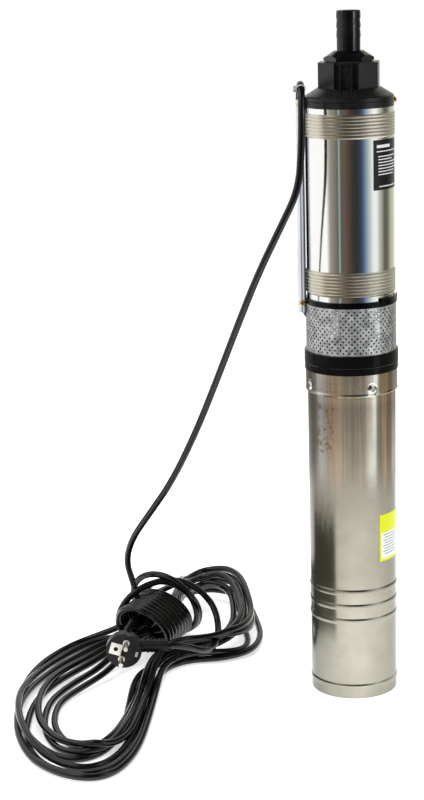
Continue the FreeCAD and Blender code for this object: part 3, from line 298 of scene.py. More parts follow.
def hankPoints():
    # each fold runs through the waist, round the front, beside the waist and round the back
    chain = [Vector(p) for p in fallingRoute[-2:]]
    length = waistFrame()[4]
    for i in range(cord["folds"]):
        degrees = cord["passFrom"] + 360.0 * i / cord["folds"]
        radius = cord["passRadii"][i % 2]
        shares = cord["soonShares"] if frontFan[i][0] > cord["soonFrom"] else cord["passShares"]
        # the first fold comes from above and only passes the waist's front
        for share in shares[2:] if i == 0 else shares:
            chain.append(waistPoint(length * share, radius, degrees))
        chain += frontFold(i)
        chain += backFold(i)
    chain[-1] = waistPoint(*cord["lastPass"])
    return laidOver(softened(chain, cord["softSteps"]))


def waistTurnPoints():
    # two loose turns at the back of the waist, then tight ones to its front, where the tail leaves on top
    perTurn = cord["turnPoints"]
    loose = cord["looseTurns"] * perTurn
    tight = cord["turnRadius"] / math.cos(math.pi / perTurn)
    start, angle = cord["firstTurn"]
    points = []
    for k in range(loose + cord["waistTurns"] * perTurn - 1):
        turn = angle - 360.0 * k / perTurn
        upwards = math.sin(math.radians(turn))
        slack = max(0.0, 1.0 - abs(k - loose / 2) / (loose * cord["looseSpread"]))
        radius = tight + (cord["looseRadius"] - cord["turnRadius"]) * slack * (0.5 + 0.5 * upwards)
        distance = start - k / perTurn * cord["pitch"] - cord["turnLean"] * upwards
        points.append(waistPoint(distance, radius, turn))
    return points


def meshOf(curve):
    return bpy.data.meshes.new_from_object(curve.evaluated_get(bpy.context.evaluated_depsgraph_get()))


def makeCord():
    route = fallingRoute[:-1] + hankPoints() + waistTurnPoints() + tailRoute
    data = bpy.data.curves.new("leadLine", "CURVE")
    data.dimensions = "3D"
    data.bevel_depth = cord["diameter"] / 2 * mm
    data.bevel_resolution = cord["bevelSteps"]
    data.resolution_u = cord["curveSteps"]
    data.use_fill_caps = True
    spline = data.splines.new("NURBS")
    spline.points.add(len(route) - 1)
    for target, p in zip(spline.points, route):
        target.co = (p[0] * mm, p[1] * mm, p[2] * mm, 1.0)
    spline.order_u = 3
    spline.use_endpoint_u = True
    curve = linkNew("leadLine", data)
    # the curve becomes a tube of its own mesh; its bare line is made into a mesh too and removed at once
    tube = meshOf(curve)
    data.bevel_depth = 0.0
    bare = meshOf(curve)
    bpy.data.objects.remove(curve)
    bpy.data.meshes.remove(bare)
    for face in tube.polygons:
        face.use_smooth = True
    lead = linkNew("powerLead", tube)
    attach(lead, "pump")
    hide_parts("power_cord", "cord_hank", "cord_tail")
    return lead


powerLead = makeCord()


# finishes: in their dictionaries a surface is how metallic, how rough and how specular it is,
# and a noise is its spot size in mm, its detail and its roughness


def hexColour(text):
    # sRGB hex to the linear values that the shaders take
    channels = [int(text[i:i + 2], 16) / 255 for i in (0, 2, 4)]
    linear = [c / 12.92 if c <= 0.04045 else ((c + 0.055) / 1.055) ** 2.4 for c in channels]
    return (*linear, 1.0)


def addNode(tree, kind, settings=None, links=None):
    node = tree.nodes.new(kind)
    for key, value in (settings or {}).items():
        if isinstance(key, int) or key in node.inputs:
            node.inputs[key].default_value = value
        else:
            setattr(node, key, value)
    for key, source in (links or {}).items():
        tree.links.new(source, node.inputs[key])
    return node


def feed(tree, socket, term):
    # a socket takes another one's value, a number or a hex colour
    if isinstance(term, bpy.types.NodeSocket):
        tree.links.new(term, socket)
    else:
        socket.default_value = hexColour(term) if isinstance(term, str) else term


def addMath(tree, operation, *terms):
    node = addNode(tree, "ShaderNodeMath", {"operation": operation})
    for socket, term in zip(node.inputs, terms):
        feed(tree, socket, term)
    return node.outputs["Value"]


def addMix(tree, share, first, second, blend="MIX"):
    node = addNode(tree, "ShaderNodeMix", {"data_type": "RGBA", "blend_type": blend})
    for index, term in ((0, share), (6, first), (7, second)):
        feed(tree, node.inputs[index], term)
    return node.outputs[2]


def addRange(tree, value, before, after, curve="LINEAR"):
    # turns the range before, a pair, into the range after
    settings = {"interpolation_type": curve, "From Min": before[0], "From Max": before[1],
                "To Min": after[0], "To Max": after[1]}
    return addNode(tree, "ShaderNodeMapRange", settings, {"Value": value}).outputs["Result"]


def addNoise(tree, place, size, detail, roughness=0.5):
    # spots of a size in millimetres on coordinates in metres
    settings = {"Scale": 1.0 / (size * mm), "Detail": detail, "Roughness": roughness}
    return addNode(tree, "ShaderNodeTexNoise", settings, {"Vector": place}).outputs["Fac"]


def stretched(tree, place, scale):
    return addNode(tree, "ShaderNodeMapping", {"Scale": scale}, {"Vector": place}).outputs["Vector"]


def addRamp(tree, value, stops):
    node = addNode(tree, "ShaderNodeValToRGB", {}, {"Fac": value})
    ends = node.color_ramp.elements
    for end, (position, colour) in ((ends[0], stops[0]), (ends[1], stops[-1])):
        end.position = position
        end.color = hexColour(colour)
    for position, colour in stops[1:-1]:
        ends.new(position).color = hexColour(colour)
    return node.outputs["Color"]


def rampRound(tree, place, stops, drift=None):
    # colours by angle round the z axis in degrees: 0 at the front, positive towards +X
    axes = addNode(tree, "ShaderNodeSeparateXYZ", {}, {"Vector": place})
    front = addMath(tree, "MULTIPLY", axes.outputs["Y"], -1.0)
    turn = addMath(tree, "ARCTAN2", axes.outputs["X"], front)
    moved = addMath(tree, "ADD", turn, drift) if drift else turn
    share = addRange(tree, moved, (-math.pi, math.pi), (0.0, 1.0))
    colours = addRamp(tree, share, [((angle + 180.0) / 360.0, colour) for angle, colour in stops])
    return colours, turn, axes.outputs["Z"]


def newFinish(name, metallic, roughness, specular=0.5):
    finish = bpy.data.materials.new(name)
    finish.use_nodes = True
    tree = finish.node_tree
    shader = tree.nodes["Principled BSDF"]
    shader.inputs["Metallic"].default_value = metallic
    shader.inputs["Roughness"].default_value = roughness
    shader.inputs["Specular IOR Level"].default_value = specular
    place = addNode(tree, "ShaderNodeTexCoord").outputs["Object"]
    return finish, tree, shader.inputs, place


def addGloss(tree, sockets, pattern, span):
    feed(tree, sockets["Roughness"], addRange(tree, pattern, (0.0, 1.0), span))


def addBump(tree, sockets, pattern, strength, depth):
    settings = {"Strength": strength, "Distance": depth * mm}
    bump = addNode(tree, "ShaderNodeBump", settings, {"Height": pattern})
    feed(tree, sockets["Normal"], bump.outputs["Normal"])


# plain finishes: two colours, metal or not, roughness, specular level, grain size and grain depth in mm
plainFinishes = {
    "mouldedBlackPolypropylene": ("0b0c0c", "151716", 0.0, 0.29, 0.30, 0.5, 0.012),  # satin, faint grain
    "glossyBlackAbs": ("050507", "0b0c0f", 0.0, 0.14, 0.36, 3.0, 0.003),             # smooth, soft shine
    "wetLookBlackAbs": ("020203", "050506", 0.0, 0.16, 0.16, 3.0, 0.003),            # polished black rings
    "softBlackPvc": ("0a0a0b", "131414", 0.0, 0.36, 0.30, 1.0, 0.01),                # moulded plug
    "machinedBrass": ("c9a254", "dcbf78", 1.0, 0.26, 0.5, 0.8, 0.006),               # yellow turned brass
    "castAluminium": ("a4a6a8", "bcbdbf", 1.0, 0.48, 0.5, 0.9, 0.03),                # dull sand-cast skin
    "nitrileRubber": ("0f0f0f", "161616", 0.0, 0.62, 0.3, 1.2, 0.01),                # matt black seals
    "hardenedBearingSteel": ("b9babb", "cfd0d0", 1.0, 0.14, 0.5, 1.0, 0.002),        # bright ground steel
    "laminatedElectricalSteel": ("77797b", "8d8f91", 1.0, 0.45, 0.5, 0.5, 0.02),     # stacked grey sheets
    "enamelledCopper": ("9c4a1e", "b8642c", 1.0, 0.32, 0.5, 0.8, 0.05),              # amber coated wire
    "groundStainlessShaft": ("bfc0c0", "d3d3d2", 1.0, 0.18, 0.5, 0.6, 0.003),        # fine ground shaft
    "carbonSealFace": ("d8d4c8", "e6e2d8", 0.0, 0.25, 0.5, 1.5, 0.003),              # pale lapped ceramic
    "aluminiumCan": ("b4b6b8", "c8cacc", 1.0, 0.30, 0.5, 1.2, 0.004),                # drawn capacitor can
    "glassFilledNoryl": ("26282a", "34373a", 0.0, 0.46, 0.4, 0.6, 0.012),            # grey-black bowls
    "acetalImpeller": ("d9d6cc", "e8e5dc", 0.0, 0.34, 0.5, 0.9, 0.006),              # off-white vanes
    "springSteel": ("9c9da0", "b4b5b7", 1.0, 0.28, 0.5, 0.5, 0.003),                 # drawn spring wire
    "nylonTie": ("868884", "9c9e9a", 0.0, 0.46, 0.3, 1.0, 0.004),                    # milky cable tie
    "nickelPlatedBrass": ("dcd8cb", "ece9e0", 1.0, 0.32, 0.5, 1.0, 0.003),           # warm satin plating
    "stainlessScrew": ("cfccc4", "dddbd5", 1.0, 0.16, 0.5, 0.8, 0.004),              # polished screw heads
}

# how a plain finish spreads: size of a mottle in grains, where its colours begin, and shares of its roughness
plainSpread = {
    "mottle": 8.0,
    "mottleDetail": 3.0,
    "edges": (0.35, 0.65),
    "gloss": (0.85, 1.2),
    "grainDetail": 2.0,
    "bump": 0.6,
}


def makePlainFinish(name):
    dark, light, metallic, roughness, specular, grain, depth = plainFinishes[name]
    p = plainSpread
    finish, tree, sockets, place = newFinish(name, metallic, roughness, specular)
    mottle = addNoise(tree, place, grain * p["mottle"], p["mottleDetail"])
    feed(tree, sockets["Base Color"], addRamp(tree, mottle, list(zip(p["edges"], (dark, light)))))
    addGloss(tree, sockets, mottle, [roughness * share for share in p["gloss"]])
    addBump(tree, sockets, addNoise(tree, place, grain, p["grainDetail"]), p["bump"], depth)
    return finish


# polished tube: mirror steel with faint lengthways draw lines, 1.2 mm apart so that they show, and painted
# reflections by angle on its rolled threads
polishedTube = {
    "surface": (1.0, 0.07),
    "dark": "edebe7",
    "light": "f9f8f5",
    "gloss": (0.07, 0.16),
    "lines": (1.2, 3.0),
    "broad": (10.8, 2.0),
    "stretch": 0.0075,  # what is left of the noises' change along the tube
    "bump": (0.25, 0.01),
    # heights of the rolled threads in mm: foot and top of the lower and of the upper group
    "threads": [(434.0, 459.0), (593.0, 617.0)],
    "threadRoughness": 0.24,
    # painted reflection on the threads by angle: brown-grey in front, pale towards the sides
    "paintedThreadRing": [(-180, "c6c0b2"), (-70, "d6d1c4"), (-48, "d2ccbe"), (-38, "a59b8a"), (-22, "8f8676"),
                   (-8, "8d8576"), (4, "b5ae9f"), (18, "bdb8aa"), (32, "c9c4b6"), (70, "cfcabd"),
                   (180, "c6c0b2")],
}


def makePolishedTube():
    p = polishedTube
    finish, tree, sockets, place = newFinish("polishedStainlessPaintedThreads", *p["surface"])
    along = stretched(tree, place, (1.0, 1.0, p["stretch"]))
    lines = addNoise(tree, along, *p["lines"])
    steel = addMix(tree, addNoise(tree, along, *p["broad"]), p["dark"], p["light"])
    # the threads' painted reflection colours by angle round the tube
    paintedThreadColours, _, z = rampRound(tree, place, p["paintedThreadRing"])
    rolled = []
    for foot, top in p["threads"]:
        rolled.append(addMath(tree, "COMPARE", z, (foot + top) / 2 * mm, (top - foot) / 2 * mm))
    worked = addMath(tree, "MAXIMUM", *rolled)
    feed(tree, sockets["Base Color"], addMix(tree, worked, steel, paintedThreadColours))
    gloss = addRange(tree, lines, (0.0, 1.0), p["gloss"])
    feed(tree, sockets["Roughness"], addMath(tree, "MULTIPLY_ADD", worked, p["threadRoughness"], gloss))
    drawn = addMath(tree, "MULTIPLY", lines, addMath(tree, "SUBTRACT", 1.0, worked))
    addBump(tree, sockets, drawn, *p["bump"])
    return finish


# guard strip: zinc whose face carries painted reflection bands, white and dark, and a painted shadow at its
# inner edge; their stops run from its outer to its inner edge
guardStripPaintedLight = {
    "surface": (0.1, 0.3),
    "from": -56.0,
    "to": -46.0,
    "shades": [(0.0, "a9afbc"), (0.1, "f6f8fb"), (0.42, "f0f3f8"), (0.5, "666d7e"), (0.58, "8f96a6"),
               (0.66, "e6ebf2"), (0.76, "8d93a3"), (0.84, "3a3d47"), (1.0, "2a2c33")],
}


def makeGuardStrip():
    p = guardStripPaintedLight
    finish, tree, sockets, place = newFinish("zincStripPaintedReflection", *p["surface"])
    axes = addNode(tree, "ShaderNodeSeparateXYZ", {}, {"Vector": place})
    across = addRange(tree, axes.outputs["X"], inMetres((p["from"], p["to"])), (0.0, 1.0))
    # painted reflection and painted shadow across the strip, over its zinc colour
    feed(tree, sockets["Base Color"], addRamp(tree, across, p["shades"]))
    return finish


# brushed tube: plain at its foot and middle, with painted light making the foot lighter, and banded by angle
# above with painted reflections of its surroundings
brushedTube = {
    "surface": (1.0, 0.2),
    # painted light: lighter at the foot, darker at the middle
    "foot": "b4b1a2",
    "middle": "a39e90",
    # painted reflections of the surroundings, by angle from the front
    "paintedReflectionBands": [(-180, "aca697"), (-140, "a09b8b"), (-118, "b2ab9b"), (-90, "6c6a61"), (-76, "6c685f"),
              (-66, "605d55"), (-58, "8e8b82"), (-50, "bdbebb"), (-42, "aeaba4"), (-36, "a39380"),
              (-26, "b4a18c"), (-18, "b3a693"), (-12, "a29c8c"), (0, "9d9584"), (8, "a8a191"),
              (13, "aea899"), (17, "d6d3c8"), (27, "d8d4c8"), (30, "98958d"), (35, "8f846f"),
              (41, "ae9876"), (46, "a89778"), (50, "827a64"), (57, "878070"), (62, "bdb8ab"),
              (90, "a9a59a"), (125, "9c9687"), (180, "aca697")],
    # heights in mm: the foot's colour turns into the middle's, and that into the painted reflection bands
    "middleRise": (95.0, 140.0),
    "bandRise": (215.0, 265.0),
    # the painted reflection bands' edges waver a little: noise, its stretch along the tube, width in radians
    "waver": (9.0, 4.0),
    "waverStretch": 0.03,
    "drift": 0.12,
    # dull blotches: noise, the part of it that counts and how much they darken
    "blotch": (26.0, 5.0, 0.6),
    "blotchEdges": (0.35, 0.7),
    "blotchShade": (0.86, 1.0),
    # lengthways streaks in the painted reflection bands
    "streak": (3.4, 4.0),
    "streakStretch": 0.02,
    "streakEdges": (0.35, 0.62),
    "streakShade": (0.8, 1.05),
    # painted shade: the foot and the middle darken towards the sides, by degrees from the front
    "sideFrom": 8.0,
    "sideTo": 80.0,
    "paintedSideShade": (1.0, 0.42),
    # the collar is lighter
    "collarRise": (318.0, 326.0),
    "collarShade": (1.0, 1.3),
    # rusty stains: colour, noise, middle angle and half width, middle height and half height in mm
    "stainColour": "7a6238",
    "stain": (6.0, 6.0, 0.7),
    "stainTurn": (-52.0, 24.0),
    "stainLevel": (295.0, 26.0),
    "stainEdges": (0.5, 0.6),
    "stainShare": (0.0, 0.7),
    # fine brush lines round the tube
    "line": (0.9, 3.0),
    "lineStretch": 0.02,
    "gloss": (0.14, 0.30),
    "bump": (0.35, 0.012),
}


def makeBrushedTube():
    p = brushedTube
    finish, tree, sockets, place = newFinish("brushedStainlessPaintedReflections", *p["surface"])
    waver = addNoise(tree, stretched(tree, place, (1.0, 1.0, p["waverStretch"])), *p["waver"])
    drift = addMath(tree, "MULTIPLY_ADD", waver, p["drift"], -p["drift"] / 2)
    paintedReflectionBands, turn, z = rampRound(tree, place, p["paintedReflectionBands"], drift)
    low = addRange(tree, z, inMetres(p["middleRise"]), (0.0, 1.0), "SMOOTHSTEP")
    high = addRange(tree, z, inMetres(p["bandRise"]), (0.0, 1.0), "SMOOTHSTEP")
    # painted light below, painted reflections above
    shades = addMix(tree, high, addMix(tree, low, p["foot"], p["middle"]), paintedReflectionBands)
    # how light the steel is: blotches everywhere, painted shade at the sides below, streaks above, and the
    # collar
    blotch = addRange(tree, addNoise(tree, place, *p["blotch"]), p["blotchEdges"], p["blotchShade"])
    side = addRange(tree, addMath(tree, "ABSOLUTE", turn),
                    (math.radians(p["sideFrom"]), math.radians(p["sideTo"])), p["paintedSideShade"])
    narrow = stretched(tree, place, (1.0, 1.0, p["streakStretch"]))
    streak = addRange(tree, addNoise(tree, narrow, *p["streak"]), p["streakEdges"], p["streakShade"])
    level = addNode(tree, "ShaderNodeMix", {"data_type": "FLOAT"}, {0: high, 2: side, 3: streak}).outputs[0]
    collar = addRange(tree, z, inMetres(p["collarRise"]), p["collarShade"])
    light = addMath(tree, "MULTIPLY", blotch, addMath(tree, "MULTIPLY", level, collar))
    # the painted light and reflections, darkened by blotches and by the painted side shade
    paintedLightAndBlotches = addMix(tree, 1.0, shades, light, "MULTIPLY")
    # a few rusty stains on the upper left
    beside = addMath(tree, "COMPARE", turn, *[math.radians(a) for a in p["stainTurn"]])
    above = addMath(tree, "COMPARE", z, *inMetres(p["stainLevel"]))
    patches = addRange(tree, addNoise(tree, place, *p["stain"]), p["stainEdges"], p["stainShare"])
    share = addMath(tree, "MULTIPLY", addMath(tree, "MULTIPLY", beside, above), patches)
    feed(tree, sockets["Base Color"], addMix(tree, share, paintedLightAndBlotches, p["stainColour"]))
    around = stretched(tree, place, (p["lineStretch"], p["lineStretch"], 1.0))
    scratches = addNoise(tree, around, *p["line"])
    addGloss(tree, sockets, scratches, p["gloss"])
    addBump(tree, sockets, scratches, *p["bump"])
    return finish


# galvanised strainer sheet: grey zinc with pale and dark flecks
strainerSheet = {
    "surface": (0.8, 0.36),
    "fleck": (7.0, 5.0, 0.65),
    "shades": [(0.36, "8d8f91"), (0.66, "cccecf")],
    "gloss": (0.25, 0.5),
    "bump": (0.5, 0.05),
}


def makeStrainerSheet():
    p = strainerSheet
    finish, tree, sockets, place = newFinish("galvanisedSheet", *p["surface"])
    fleck = addNoise(tree, place, *p["fleck"])
    feed(tree, sockets["Base Color"], addRamp(tree, fleck, p["shades"]))
    addGloss(tree, sockets, fleck, p["gloss"])
    addBump(tree, sockets, fleck, *p["bump"])
    return finish


# cord sheath: glossy black PVC with a faint wave along it
cordSheath = {
    "surface": (0.0, 0.2, 0.45),
    "dark": "020304",
    "light": "07080a",
    "wave": (7.0, 2.0),
    "gloss": (0.16, 0.26),
    "bump": (0.3, 0.06),
}


def makeCordSheath():
    p = cordSheath
    finish, tree, sockets, place = newFinish("blackPvcSheath", *p["surface"])
    wave = addNoise(tree, place, *p["wave"])
    feed(tree, sockets["Base Color"], addMix(tree, wave, p["dark"], p["light"]))
    addGloss(tree, sockets, wave, p["gloss"])
    addBump(tree, sockets, wave, *p["bump"])
    return finish


# sticker vinyl: flat film with a slight orange peel
vinyl = {"peel": (2.0, 2.0), "shade": (0.93, 1.0), "specular": 0.25, "bump": (0.3, 0.01)}

# each film's colour and roughness
films = {
    "blackVinyl": ("121214", 0.3),
    "yellowVinyl": ("dfe800", 0.35),
    "whiteVinyl": ("eef0f1", 0.35),
    "paleInk": ("dcdddc", 0.4),
    "greyInk": ("8f9496", 0.4),
}


def makeVinyl(name):
    colour, roughness = films[name]
    finish, tree, sockets, place = newFinish(name, 0.0, roughness, vinyl["specular"])
    peel = addNoise(tree, place, *vinyl["peel"])
    fade = addRange(tree, peel, (0.0, 1.0), vinyl["shade"])
    feed(tree, sockets["Base Color"], addMix(tree, 1.0, colour, fade, "MULTIPLY"))
    addBump(tree, sockets, peel, *vinyl["bump"])
    return finish


finishes = {name: makePlainFinish(name) for name in plainFinishes}
finishes.update({name: makeVinyl(name) for name in films})
finishes["polishedTube"] = makePolishedTube()
finishes["brushedTube"] = makeBrushedTube()
finishes["zincStripPaintedReflection"] = makeGuardStrip()
finishes["strainerSheet"] = makeStrainerSheet()
finishes["cordSheath"] = makeCordSheath()
print("finishes ready", len(finishes))

# which finish each carried-over piece takes
finishOfNode = {
    "brushedTube": ["motor_tube"],
    "polishedTube": ["pump_tube"],
    "zincStripPaintedReflection": ["cable_guard"],
    "stainlessScrew": ["tube_screws", "bracket_screws", "shaft_nut"],
    "mouldedBlackPolypropylene": ["discharge_head", "bottom_cap", "oil_plug"],
    "glossyBlackAbs": ["hose_barb"],
    "wetLookBlackAbs": ["inlet_bracket", "bracket_seal_ring"],
    "machinedBrass": ["head_lock_screw", "guard_screws", "top_bush"],
    "castAluminium": ["motor_flange", "lower_bearing_housing"],
    "nitrileRubber": ["housing_o_rings", "shaft_seal", "barb_washer", "valve_washer", "cable_gland"],
    "hardenedBearingSteel": [a + b for a in ("lower_bearing_", "upper_bearing_")
                             for b in ("outer", "inner", "balls")],
    "laminatedElectricalSteel": ["stator_core", "rotor_core"],
    "enamelledCopper": ["stator_windings"],
    "groundStainlessShaft": ["motor_shaft", "pump_shaft", "shaft_coupling"],
    "carbonSealFace": ["seal_seat"],
    "aluminiumCan": ["capacitor"],
    "glassFilledNoryl": ["bearing_spider", "check_valve"] + [f"stage_{i}_bowl" for i in range(1, 6)],
    "acetalImpeller": [f"stage_{i}_impeller" for i in range(1, 6)],
    "nylonTie": ["cord_clip"],
    "nickelPlatedBrass": ["plug_contacts"],
    "softBlackPvc": ["plug_body"],
    "cordSheath": ["guarded_lead"],
}


def dressNodes():
    for name, dressed in finishOfNode.items():
        for node in dressed:
            for slot in nodes[node].material_slots:
                slot.material = finishes[name]
    print("nodes dressed", sum(len(v) for v in finishOfNode.values()))


dressNodes()
powerLead.data.materials.append(finishes["cordSheath"])


# shared steps for modelled pieces


def editStart(piece):
    onlySelect(piece)
    bpy.ops.object.mode_set(mode="EDIT")
    bpy.ops.mesh.select_all(action="SELECT")


def editEnd():
    bpy.ops.object.mode_set(mode="OBJECT")


def applyModifier(piece, kind, settings):
    onlySelect(piece)
    modifier = piece.modifiers.new(kind.lower(), kind)
    for key, value in settings.items():
        setattr(modifier, key, value)
    bpy.ops.object.modifier_apply(modifier=modifier.name)


def mergeDoubles(piece, distance):
    editStart(piece)
    bpy.ops.mesh.remove_doubles(threshold=distance)
    bpy.ops.mesh.normals_make_consistent(inside=False)
    editEnd()


def smoothByAngle(piece, degrees):
    onlySelect(piece)
    bpy.ops.object.shade_smooth_by_angle(angle=math.radians(degrees))


def rollUp(piece, radius, bottom):
    # wraps a flat piece drawn in X (arc length) and Z round the pump's axis, its depth Y going inwards
    for v in piece.data.vertices:
        turn = v.co.x / radius
        r = radius - v.co.y
        v.co = Vector((r * math.sin(turn), -r * math.cos(turn), bottom + v.co.z))


def setHome(piece):
    onlySelect(piece)
    bpy.ops.object.transform_apply(location=True, rotation=True, scale=True)


# strainer: a rolled sheet with staggered holes between two plain edges

strainer = {
    "outer": 46.7,
    "wall": 0.5,
    "bottom": 373.3,
    "height": 48.9,
    "columns": 50,
    "rows": 15,
    "edgeRows": 0.97,  # height of the two plain edges together, in rows
    "hole": 2.1,
    "opening": 0.4,  # how far the bevel that starts a hole reaches, as a share of the hole
    "weld": 0.05,
}


def makeStrainerCell(pitch, rowPitch):
    # a plane cut in four, its middle opened to a round hole
    opening = strainer["hole"] * strainer["opening"] * mm
    bpy.ops.mesh.primitive_plane_add(size=1.0, location=(0, 0, 0), rotation=(math.radians(90), 0, 0))
    cell = bpy.context.object
    cell.scale = (pitch, rowPitch, 1.0)
    setHome(cell)
    editStart(cell)
    bpy.ops.mesh.subdivide(number_cuts=1)
    bpy.ops.mesh.select_all(action="DESELECT")
    editEnd()
    middle = min(cell.data.vertices, key=lambda v: v.co.length)
    middle.select = True
    bpy.ops.object.mode_set(mode="EDIT")
    bpy.ops.mesh.bevel(offset=opening, segments=2, affect="VERTICES")
    bpy.ops.mesh.select_mode(type="FACE")
    editEnd()
    # the faces in the middle go, and their outer corners move out to the hole's edge
    for f in cell.data.polygons:
        f.select = f.center.length < opening
        for i in f.vertices if f.select else ():
            v = cell.data.vertices[i]
            if v.co.length > opening / 4:
                v.co = v.co.normalized() * (strainer["hole"] / 2 * mm)
    bpy.ops.object.mode_set(mode="EDIT")
    bpy.ops.mesh.delete(type="FACE")
    bpy.ops.mesh.select_mode(type="VERT")
    editEnd()
    return cell


def makeStrainer():
    s = strainer
    radius = s["outer"] * mm
    pitch = 2 * math.pi * radius / s["columns"]
    rowPitch = s["height"] / (s["rows"] + s["edgeRows"]) * mm
    edge = (s["height"] * mm - s["rows"] * rowPitch) / 2
    cell = makeStrainerCell(pitch, rowPitch)
    # a row of cells, then the rows, each shifted by half a cell
    applyModifier(cell, "ARRAY", {"count": s["columns"], "use_merge_vertices": True,
                                  "merge_threshold": s["weld"] * mm})
    rowMesh = cell.data.copy()
    for v in cell.data.vertices:
        v.co.z += edge + rowPitch / 2
    onlySelect(cell)
    for i in range(1, s["rows"]):
        row = linkNew("strainerRow", rowMesh.copy())
        for v in row.data.vertices:
            v.co.x += pitch / 2 * (i % 2)
            v.co.z += edge + (i + 0.5) * rowPitch
        row.select_set(True)
    # plain edges above and below
    for level in (0.0, s["height"] * mm - edge):
        bpy.ops.mesh.primitive_grid_add(x_subdivisions=2 * s["columns"], y_subdivisions=1, size=1.0)
        strip = bpy.context.object
        for v in strip.data.vertices:
            v.co = Vector(((v.co.x + 0.5) * pitch * s["columns"], 0.0, level + (v.co.y + 0.5) * edge))
        for piece in [o for o in scene.objects if o.name.startswith("strainerRow")] + [cell]:
            piece.select_set(True)
        bpy.context.view_layer.objects.active = cell
        bpy.ops.object.join()
    rollUp(cell, radius, s["bottom"] * mm)
    mergeDoubles(cell, s["weld"] * mm)
    applyModifier(cell, "SOLIDIFY", {"thickness": s["wall"] * mm, "offset": -1.0})
    cell.name = "strainerSleeve"
    cell.data.materials.append(finishes["strainerSheet"])
    smoothByAngle(cell, 35)
    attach(cell, "pump")
    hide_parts("strainer")
    print("strainer faces", len(cell.data.polygons))
    return cell


makeStrainer()


# valve spring: a coil of wire between the valve and the spigot, which on the real pump is pressed together as
# the valve lifts; this coil stays as drawn

spring = {
    "radius": 8.6,
    "wire": 0.7,
    "turns": 4,
    "travel": 6.0,
    "sides": 12,
    "steps": 24,
}


def makeSpring():
    s = spring
    solid = nodes["valve_spring"]
    heights = [(solid.matrix_world @ v.co).z for v in solid.data.vertices]
    bottom, top = min(heights), max(heights)
    wire = s["wire"] * mm
    bpy.ops.object.select_all(action="DESELECT")
    bpy.ops.mesh.primitive_circle_add(vertices=s["sides"], radius=wire, rotation=(math.radians(90), 0, 0),
                                      location=(s["radius"] * mm, 0, bottom + wire))
    coil = bpy.context.object
    coil.name = "valveSpring"
    setHome(coil)
    pitch = (top - bottom - 2 * wire) / s["turns"]
    applyModifier(coil, "SCREW", {"angle": 2 * math.pi, "screw_offset": pitch, "iterations": s["turns"],
                                  "steps": s["steps"], "render_steps": s["steps"]})
    editStart(coil)
    bpy.ops.mesh.fill_holes(sides=s["sides"])
    bpy.ops.mesh.normals_make_consistent(inside=False)
    editEnd()
    smoothByAngle(coil, 40)
    coil.data.materials.append(finishes["springSteel"])
    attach(coil, "pump")
    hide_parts("valve_spring")
    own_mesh(coil)


makeSpring()


# labels: a bare black one on the pump tube and a yellow and white one on the motor tube,
# with plain rules where the real ones carry print; sizes in mm, "from" the angle of the left edge

blackLabel = {
    "name": "pumpLabel",
    "radius": 45.2,
    "thickness": 0.22,
    "film": 0.85,  # its share of the thickness, above a gap
    "from": 27.0,
    "wide": 60.0,
    "bottom": 541.0,
    "high": 50.0,
    "ground": "blackVinyl",
    "ink": "paleInk",
    "step": 1.0,
    # each rule: height above the label's foot, how many steps high, share of the width from and to
    "rules": [(42, 3, 0.06, 0.40), (38, 1, 0.06, 0.90), (33, 1, 0.10, 0.62), (30, 1, 0.10, 0.48),
              (27, 1, 0.10, 0.72), (24, 1, 0.10, 0.64), (21, 1, 0.10, 0.76), (18, 1, 0.10, 0.58),
              (15, 1, 0.10, 0.54), (3, 1, 0.12, 0.80)],
}

yellowLabel = {
    "name": "motorLabel",
    "radius": 45.8,
    "thickness": 0.22,
    "film": 0.85,  # its share of the thickness, above a gap
    "from": 33.0,
    "wide": 38.0,
    "bottom": 150.0,
    "high": 51.0,
    "ground": "yellowVinyl",
    "panel": ("whiteVinyl", 3, 31, 0.06, 0.94),
    "ink": "greyInk",
    "step": 1.0,
    "rules": [(28, 1, 0.14, 0.80), (25, 1, 0.18, 0.86), (22, 1, 0.14, 0.74), (19, 1, 0.18, 0.84),
              (16, 1, 0.14, 0.66), (13, 1, 0.18, 0.80), (10, 1, 0.14, 0.70), (7, 1, 0.18, 0.84)],
}


def makeLabel(label):
    rows = int(label["high"] / label["step"])
    columns = int(label["wide"] / label["step"])
    bpy.ops.mesh.primitive_grid_add(x_subdivisions=columns, y_subdivisions=rows, size=1.0)
    piece = bpy.context.object
    piece.name = label["name"]
    finishNames = [label["ground"], label["ink"]]
    panel = label.get("panel")
    if panel:
        finishNames.append(panel[0])
    for name in finishNames:
        piece.data.materials.append(finishes[name])
    # every face of the grid takes the ground, the ink or the panel
    for f in piece.data.polygons:
        across = f.center.x + 0.5
        row = int((f.center.y + 0.5) * rows)
        if panel and panel[1] <= row < panel[2] and panel[3] < across < panel[4]:
            f.material_index = 2
        for low, high, start, end in label["rules"]:
            if low <= row < low + high and start < across < end:
                f.material_index = 1
    radius = (label["radius"] + label["thickness"]) * mm
    first = math.radians(label["from"]) * radius
    for v in piece.data.vertices:
        v.co = Vector((first + (v.co.x + 0.5) * label["wide"] * mm, 0.0, (v.co.y + 0.5) * label["high"] * mm))
    rollUp(piece, radius, label["bottom"] * mm)
    editStart(piece)
    bpy.ops.mesh.normals_make_consistent(inside=False)
    editEnd()
    middle = piece.data.polygons[len(piece.data.polygons) // 2]
    if middle.normal.dot(Vector((middle.center.x, middle.center.y, 0.0))) < 0:
        editStart(piece)
        bpy.ops.mesh.flip_normals()
        editEnd()
    applyModifier(piece, "SOLIDIFY", {"thickness": label["thickness"] * label["film"] * mm, "offset": -1.0})
    smoothByAngle(piece, 30)
    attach(piece, "pump")
    print(label["name"], "faces", len(piece.data.polygons))
    return piece


makeLabel(blackLabel)
makeLabel(yellowLabel)


# studio: white floor and world, cards for the tubes to mirror, and three soft lamps

